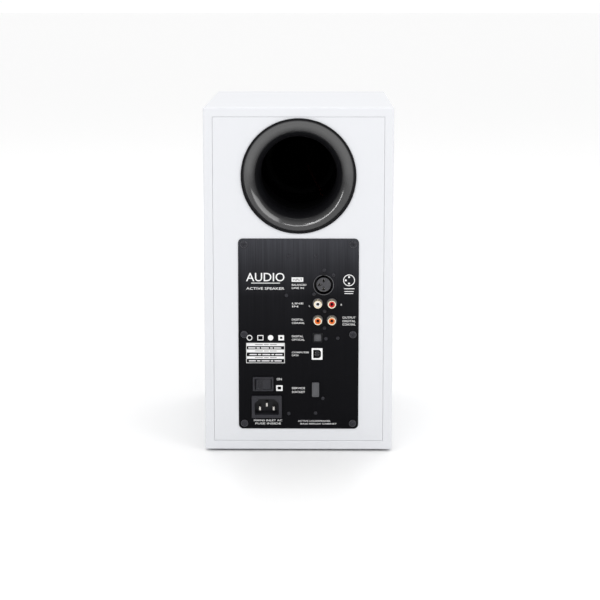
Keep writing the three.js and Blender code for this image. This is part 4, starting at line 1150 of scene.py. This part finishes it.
def usb_socket():
    """A white data socket with two bevelled corners and a tongue that carries its contacts."""
    low, high = corners("usb_socket")
    centre = (low + high) / 2
    wide, tall, skin = 3.95, 4.3, 0.02

    def box_at(shift, half, back, front):
        """The corners of a box: its shift from the middle, half its size, and its depths behind the face."""
        (x, z), (w, h) = shift, half
        return (
            (centre.x + (x - w) * MM, high.y - back * MM, centre.z + (z - h) * MM),
            (centre.x + (x + w) * MM, high.y - front * MM, centre.z + (z + h) * MM),
        )

    def bevelled(name, half, back, front):
        """A box whose two corners away from the middle of the plate are cut off."""
        box = block(name, *box_at((0, 0), half, back, front))
        with Bench(box) as bench:
            bench.pick("edges", lambda edge: run_in(edge) > 5 * MM and edge.verts[0].co.x < centre.x)
            bench.round(1.8 * MM, 1)
        return box

    body = rounded_slab("data_socket_body", low, high, 0.4 * MM, 0.2 * MM, 3)
    cut(body, bevelled("mouth", (wide, tall), 9, -1))
    smooth(body, 40)
    finish(body, "white_plastic", stands_for=["usb_socket"])

    # Painted shade: a near-black sheet lines the mouth, where the socket's inside lies in shadow.
    shade_sheet = bevelled("data_socket_shade_sheet", (wide - skin, tall - skin), 8.9, 0.5)
    with Bench(shade_sheet) as bench:
        bench.pick("faces", facing(1))
        bench.inset(0.35 * MM)
        bench.pull(y=-7.6 * MM)
    smooth(shade_sheet, 40)
    finish(shade_sheet, "black_plastic", looks="painted_shade_hole")

    tongue = rounded_slab("data_socket_tongue", *box_at((0, 0), (1.6, 2.85), 8, 1.4), 0.2 * MM, 0.2 * MM, 3)
    smooth(tongue, 40)
    finish(tongue, "white_plastic", looks="frame_grey")
    for i, shift in enumerate(((-1.75, -1.25), (-1.75, 1.25), (1.75, -1.25), (1.75, 1.25)), 1):
        place = box_at(shift, (0.12, 0.5), 7, 1.7)
        strip = rounded_slab(f"data_socket_contact_{i}", *place, 0.05 * MM, 0.05 * MM, 2)
        smooth(strip, 40)
        finish(strip, "white_plastic", looks="nickel")


def service_socket():
    """The upright service socket, and the rubber cover whose stem plugs it."""
    framed_mouth("service_socket_shell", "service_socket", (5.1, 12.4), 9, 0.1, "steel", "nickel", 0.3)
    low, high = corners("service_cover")
    cap = rounded_slab("service_socket_cover", (low.x, RIM_BACK, low.z), high, 1.2 * MM, 0.5 * MM, 6)
    with Bench(cap) as bench:
        bench.pick("faces", at_depth(high.y))
        bench.inset(0.5 * MM)
        bench.inset(0.12 * MM, -0.4 * MM)
    smooth(cap, 35)
    foot = (low.x + 1.4 * MM, low.y, low.z + 2.0 * MM)
    top = (low.x + 3.4 * MM, RIM_BACK + 0.5 * MM, high.z - 2.0 * MM)
    stem = rounded_slab("service_socket_cover_stem", foot, top, 0.4 * MM, 0.2 * MM, 3, -1)
    smooth(stem, 40)
    finish(stem, "grey_rubber", "cover")
    finish(cap, "grey_rubber", "cover", ["service_cover"])


def rim_and_body(name, low, high, inset, corner, bevel):
    """A rim that rests on the plate, made one with the body that fills the plate's hole behind it."""
    rim = rounded_slab(name, (low.x, RIM_BACK, low.z), high, corner, bevel, 5)
    back = (high.x - inset, RIM_BACK + 0.2 * MM, high.z - inset)
    body = block("body", (low.x + inset, low.y, low.z + inset), back)
    modify(rim, "BOOLEAN", object=body, operation="UNION", solver="EXACT")
    bpy.data.objects.remove(body)
    return rim


def power_switch():
    """The switch's frame, with the well that its rocker tips in."""
    low, high = corners("power_switch_frame")
    centre = (low + high) / 2
    rim = rim_and_body("switch_rim", low, high, MM, 1.0 * MM, 0.55 * MM)
    wide, tall = 8.6 * MM, 5.4 * MM
    floor = (centre.x - wide, REAR_Y - 8 * MM, centre.z - tall)
    cut(rim, rounded_slab("well", floor, (centre.x + wide, high.y + MM, centre.z + tall), 0.5 * MM, 0, 3))
    smooth(rim, 35)
    finish(rim, "black_plastic", stands_for=["power_switch_frame"], looks="frame_grey")
    switch_rocker()
    rocker_ribs(Vector((centre.x, REAR_Y, centre.z)))


def switch_rocker():
    """The CAD node's own outline, merged and given rounded edges."""
    rocker = frame["nodes"]["power_rocker"].copy()
    rocker.data = rocker.data.copy()
    bpy.context.collection.objects.link(rocker)
    rocker.parent = None
    rocker.name = rocker.data.name = "switch_rocker"
    with Bench(rocker) as bench:
        bench.tidy()
        bpy.ops.mesh.dissolve_limited(angle_limit=math.radians(2))
    soften(rocker, 0.45 * MM, 3, 30)
    smooth(rocker, 35)
    finish(rocker, "black_plastic", "rocker", ["power_rocker"], looks="frame_grey")


def rocker_ribs(pivot):
    """Grip ribs along the raised half of the rocker, made about the pivot and laid on its slope."""
    tilt = math.radians(10)
    count, pitch, thick = 7, 1.37, 0.56
    face = 3.2 * MM
    ribs = []
    for i in range(count):
        z = -4.1 + i * pitch
        low = (0.9 * MM, 3.1 * MM, (z - thick / 2) * MM)
        rib = rounded_slab("rib", low, (7.1 * MM, 3.75 * MM, (z + thick / 2) * MM), 0.15 * MM, 0.2 * MM, 3)
        with Bench(rib) as bench:
            bench.turn(-tilt, (0, face, 0), "Z")
            bench.turn(-tilt, (0, 0, 0), "Z")
            bpy.ops.transform.translate(value=pivot)
        ribs.append(rib)
    grip = joined("switch_rocker_ribs", ribs)
    smooth(grip, 35)
    finish(grip, "black_plastic", "rocker", looks="frame_grey")


def mains_inlet():
    """The inlet, with a mouth whose two upper corners are cut off, and its three upright blades."""
    low, high = corners("mains_inlet")
    centre = (low + high) / 2
    rim = rim_and_body("inlet_rim", low, high, 1.8 * MM, 1.2 * MM, 0.8 * MM)
    wide, tall = 12.1 * MM, 8.1 * MM
    floor = (centre.x - wide, REAR_Y - 11 * MM, centre.z - tall)
    mouth = block("mouth", floor, (centre.x + wide, high.y + MM, centre.z + tall))
    with Bench(mouth) as bench:
        bench.pick("edges", lambda edge: run_in(edge) > 5 * MM and edge.verts[0].co.z > centre.z)
        bench.round(4.3 * MM, 1)
        bench.pick("edges", lambda edge: run_in(edge) > 5 * MM)
        bench.round(0.6 * MM, 3)
    cut(rim, mouth)

    def on_the_mouth(vertex):
        x, _, z = vertex.co - centre
        near = abs(x) < wide + 0.2 * MM and abs(z) < tall + 0.2 * MM
        return near and abs(vertex.co.y - high.y) < TOUCH

    with Bench(rim) as bench:
        bench.pick("edges", lambda edge: all(on_the_mouth(vertex) for vertex in edge.verts))
        bench.round(0.5 * MM, 3)
    smooth(rim, 35)
    finish(rim, "black_plastic", stands_for=["mains_inlet"], looks="frame_grey")
    for node in ("mains_pin_live", "mains_pin_neutral", "mains_pin_earth"):
        pin = rounded_slab(f"{node}_blade", *corners(node), 0.25 * MM, 0.45 * MM, 3)
        smooth(pin, 35)
        finish(pin, "steel", stands_for=[node], looks="nickel")


# ---------------------------------------------------------------- printing on the panel

INK = 0.06 * MM  # how thick the ink stands
CAPITAL = 0.72  # the height of a capital letter, as a share of the text's size
PRINTED = []
OVERPRINTED = []


def upright(piece):
    """Stands a flat mark up on the plate, so that it reads from behind."""
    piece.rotation_euler = (math.pi / 2, 0, math.pi)
    activate(piece)
    bpy.ops.object.transform_apply(location=False, rotation=True, scale=True)


def word(text, left, base, height, width=None):
    """A word in plain letters. left and base are where it starts, in mm, and width squeezes it to fit."""
    deselect()
    bpy.ops.object.text_add()
    label = bpy.context.object
    label.data.body = text
    label.data.size = height * MM / CAPITAL
    label.data.extrude = INK / 2
    label.data.offset = 0.006 * height * MM
    label.data.resolution_u = 3
    activate(label)
    bpy.ops.object.convert(target="MESH")
    label = bpy.context.object
    if width:
        label.scale.x = width * MM / label.dimensions.x
    upright(label)
    label.location = (left * MM, PANEL_Y + INK / 2, base * MM)
    bpy.ops.object.transform_apply(location=True, rotation=False, scale=False)
    PRINTED.append(label)
    return label


def bar(x0, x1, z0, z1):
    """A printed strip with rounded corners, from x0 on the left down to x1, in mm."""
    low = (x1 * MM, PANEL_Y - INK / 2, z0 * MM)
    high = (x0 * MM, PANEL_Y + INK, z1 * MM)
    strip = rounded_slab("strip", low, high, min(0.3, (z1 - z0) * 0.3) * MM, 0, 3)
    PRINTED.append(strip)
    return strip


def overprint(mark):
    """Lays a mark in the plate's own colour over what is printed."""
    PRINTED.remove(mark)
    OVERPRINTED.append(mark)
    with Bench(mark):
        bpy.ops.transform.translate(value=(0, INK * 0.6, 0))


def frame_mark(x0, x1, z0, z1, line):
    """A printed outline, from x0 on the left down to x1."""
    low = ((x1 + line) * MM, PANEL_Y - MM, (z0 + line) * MM)
    high = ((x0 - line) * MM, PANEL_Y + MM, (z1 - line) * MM)
    cut(bar(x0, x1, z0, z1), block("inner", low, high))


def disc_mark(x, z, radius, hole=0.0, sides=48):
    """A printed disc, or a ring where it has a hole."""
    spot = (x * MM, 0, z * MM)
    disc = drum("disc", spot, radius * MM, PANEL_Y - INK / 2, PANEL_Y + INK, sides)
    if hole:
        cut(disc, drum("hole", spot, hole * MM, PANEL_Y - MM, PANEL_Y + MM, sides))
    PRINTED.append(disc)


def title():
    """The plain title at the top left."""
    word("AUDIO", 52.6, 176.0, 8.8, 38.6)
    bar(47.7, 18.6, 173.7, 174.4)
    word("ACTIVE SPEAKER", 52.6, 167.3, 2.6, 38.4)


def socket_labels():
    """The words beside each socket."""
    bar(6.9, -4.8, 175.4, 179.9)
    overprint(word("INPUT", 5.9, 176.5, 2.3, 9.6))
    for text, base, height, width in (
        ("BALANCED", 171.4, 1.9, 14.5), ("LINE IN", 168.2, 1.9, 12),
        ("LINE", 152.5, 1.8, 11.5), ("IN", 149.4, 1.8, 6),
        ("DIGITAL", 135.9, 2.0, 11.5), ("COAXIAL", 132.4, 2.0, 13),
        ("DIGITAL", 118.7, 2.0, 11.5), ("OPTICAL", 115.2, 2.0, 13),
        ("COMPUTER", 102.3, 1.7, 17.5), ("DATA", 99.3, 1.7, 7),
        ("SERVICE", 65.2, 2.0, 13.4), ("SOCKET", 61.2, 2.0, 13.4),
    ):
        word(text, 6.9, base, height, width)
    word("L", -10.4, 149.9, 1.9)
    word("R", -42.3, 151.2, 1.9)
    for text, base in (("OUTPUT", 137.9), ("DIGITAL", 134.3), ("COAXIAL", 130.9)):
        word(text, -44.2, base, 2.2, 13.2)


def pin_diagram():
    """A ring with three dots, which shows the balanced socket's contacts, over three lines."""
    x, z, reach = -50.8, 177, 3.3
    disc_mark(x, z, 5.9, 5.1)
    for dx, dz in ((0, reach), (reach, 0), (0, -reach)):
        disc_mark(x + dx, z + dz, 1.0, 0, 24)
    bar(-45.8, -56.3, 168.0, 168.8)
    bar(-46.2, -55.6, 165.3, 166.0)
    bar(-46.2, -55.0, 163.2, 163.9)


def plain_marks():
    """A row of four plain shapes."""
    height, low, high = 118.1, 115.4, 120.8
    disc_mark(49.5, height, 2.9, 2.1)
    frame_mark(41.6, 35.4, low, high, 0.8)
    disc_mark(28.2, height, 2.8)
    frame_mark(20.4, 14.6, low, high, 1.7)


def plain_table():
    """A framed block of solid rows and broken lines."""
    frame_mark(52.9, 13.9, 92.0, 112.8, 0.5)
    for z0, z1 in ((109.5, 112.5), (102.9, 106.1), (96.3, 99.0)):
        bar(52.7, 14.1, z0, z1)
        for x0, x1 in ((44, 36), (35, 30), (29, 22)):
            overprint(bar(x0, x1, (z0 + z1) / 2 - 0.25, (z0 + z1) / 2 + 0.25))
    for z, shift in ((107.6, 0.0), (100.8, 1.3), (94.3, 0.5)):
        for x0, x1 in ((50.8, 43.5), (42.4, 39.0), (37.9, 29.8), (28.7, 26.0), (24.9, 17.6)):
            bar(x0 - shift, x1 - shift, z - 0.55, z + 0.55)


def lower_labels():
    """The words round the switch and the inlet."""
    word("ON", 22.3, 74.2, 2.5)
    frame_mark(22.7, 16.1, 63.2, 69.1, 1.5)
    word("MAINS INLET AC", 45.7, 31.7, 1.9, 28.8)
    word("FUSE INSIDE", 44.2, 28.4, 1.9, 26)
    word("ACTIVE LOUDSPEAKER", 0.6, 31.3, 1.5, 33)
    word("BASS REFLEX CABINET", -1.6, 28.4, 1.5, 37)


def panel_printing():
    title()
    socket_labels()
    pin_diagram()
    plain_marks()
    plain_table()
    lower_labels()
    finish(joined("panel_printing", PRINTED), "white_plastic", looks="print")
    finish(joined("panel_printing_dark_rows", OVERPRINTED), "black_plastic")


# ---------------------------------------------------------------- inside pieces kept from the CAD


def inside_pieces():
    """The pieces that keep their CAD shape, most of them hidden, take their record's finish."""
    slots = {part["node"]: part["material_slot"] for part in frame["record"]["subparts"]}
    for name, node in frame["nodes"].items():
        node.data.materials.clear()
        node.data.materials.append(FINISHES[slots[name]].material)
    # Painted shade: the tweeter's back cup takes the matt black, so that it stays dark inside the cabinet.
    frame["nodes"]["tweeter_back_cup"].data.materials[0] = EXTRA["matt_black_and_shade"].material


# ---------------------------------------------------------------- studio

LENS = 108.85
SENSOR = 36.0
SHIFT = -0.04
CAMERA_PLACE = (-0.02013, REAR_Y + 1.8, 0.46907)
CAMERA_DOWN = math.radians(9.087)
CAMERA_ASIDE = math.radians(0.593)
LIT_BY_WORLD, SEEN_WORLD = 0.75, 1.02  # how strongly the backdrop lights, and how bright it looks


def studio_floor():
    """A pale satin floor with a painted glow that grows with distance, so that it runs into the backdrop."""
    deselect()
    bpy.ops.mesh.primitive_plane_add(size=60, location=(0, 0, 0))
    floor = bpy.context.object
    floor.name = "studio_floor"
    sheet = Finish("studio_floor_satin", (0.95, 0.95, 0.95), 0.4, Specular_IOR_Level=0.3)
    sheet.set("Roughness", sheet.noise(2.0) * 0.06 + 0.36)
    away = sheet.node("ShaderNodeVectorMath", {"operation": "LENGTH"}, {0: sheet.place()}, output=1)
    # Painted light: the floor glows, not at all near the speaker and more farther out.
    sheet.set("Emission Color", sheet.shaped(away * 0.1, (0.07, 0.0), (0.2, 0.24)))
    sheet.set("Emission Strength", 1.0)
    floor.data.materials.append(sheet.material)


def backdrop():
    """A white world, a little brighter to look at than it is as a light."""
    world = bpy.context.scene.world or bpy.data.worlds.new("studio")
    bpy.context.scene.world = world
    world.use_nodes = True
    tree = world.node_tree
    background = tree.nodes["Background"]
    background.inputs["Color"].default_value = (1, 1, 1, 1)
    seen = tree.nodes.new("ShaderNodeLightPath")
    strength = tree.nodes.new("ShaderNodeMapRange")
    strength.inputs["To Min"].default_value = LIT_BY_WORLD
    strength.inputs["To Max"].default_value = SEEN_WORLD
    tree.links.new(seen.outputs["Is Camera Ray"], strength.inputs["Value"])
    tree.links.new(strength.outputs["Result"], background.inputs["Strength"])


def lamp(name, place, target, size, radiance, roll=0.0):
    """A soft rectangular lamp of the given brightness, aimed at target and turned about its own axis."""
    data = bpy.data.lights.new(name, "AREA")
    data.shape = "RECTANGLE"
    data.size, data.size_y = size
    data.energy = radiance * math.pi * size[0] * size[1]
    light = bpy.data.objects.new(name, data)
    bpy.context.collection.objects.link(light)
    light.location = place
    light.rotation_euler = (Vector(target) - Vector(place)).to_track_quat("-Z", "Y").to_euler()
    light.rotation_euler.rotate_axis("Z", math.radians(roll))


def lamps():
    """Soft light from above, three lamps that show as streaks on the port's rim, and one for the front."""
    port = (0, REAR_Y, 0.26)
    lamp("overhead_softbox", (0, -0.4, 2.3), (0, -0.1, 0.2), (1.6, 1.6), 2.2)
    lamp("upper_left_strip", (1.05, REAR_Y + 1.3, 1.2), port, (1.9, 0.09), 12, 38)
    lamp("upper_right_softbox", (-1.05, REAR_Y + 1.2, 1.1), port, (1.2, 0.9), 2.3, -45)
    lamp("top_strip", (0.15, REAR_Y + 2.0, 1.72), port, (1.3, 0.12), 6)
    lamp("front_softbox", (-1.1, -1.9, 1.1), (0, FRONT_Y, 0.18), (0.9, 0.6), 2.6)


def black_flag():
    """A black card behind the camera, which keeps the lower half of the plate dark."""
    low = Vector((-0.45, REAR_Y + 2.4, 0))
    flag = block("black_flag", low, low + Vector((0.9, 0.02, 0.48)))
    flag.data.materials.append(EXTRA["matt_black_and_shade"].material)
    flag.visible_camera = False


def set_camera():
    """A long lens behind the speaker and a little above it."""
    camera = bpy.data.objects.new("camera", bpy.data.cameras.new("camera"))
    bpy.context.collection.objects.link(camera)
    camera.data.sensor_width = SENSOR
    camera.data.lens = LENS
    camera.data.shift_y = SHIFT
    camera.data.clip_start, camera.data.clip_end = 0.05, 100
    camera.location = CAMERA_PLACE
    camera.rotation_euler = (math.pi / 2 - CAMERA_DOWN, 0, math.pi + CAMERA_ASIDE)
    bpy.context.scene.camera = camera


def studio():
    """The view transform keeps white lacquer white on a white ground."""
    bpy.context.scene.view_settings.view_transform = "Standard"
    studio_floor()
    backdrop()
    lamps()
    black_flag()
    set_camera()


inside_pieces()
cabinet_wrap()
rear_board()
front_board()
feet()
bass_port()
woofer()
tweeter()
amp_plate()
plate_screws()
fixing_screws()
xlr_socket()
rca_jacks()
optical_socket()
usb_socket()
service_socket()
power_switch()
mains_inlet()
panel_printing()
studio()
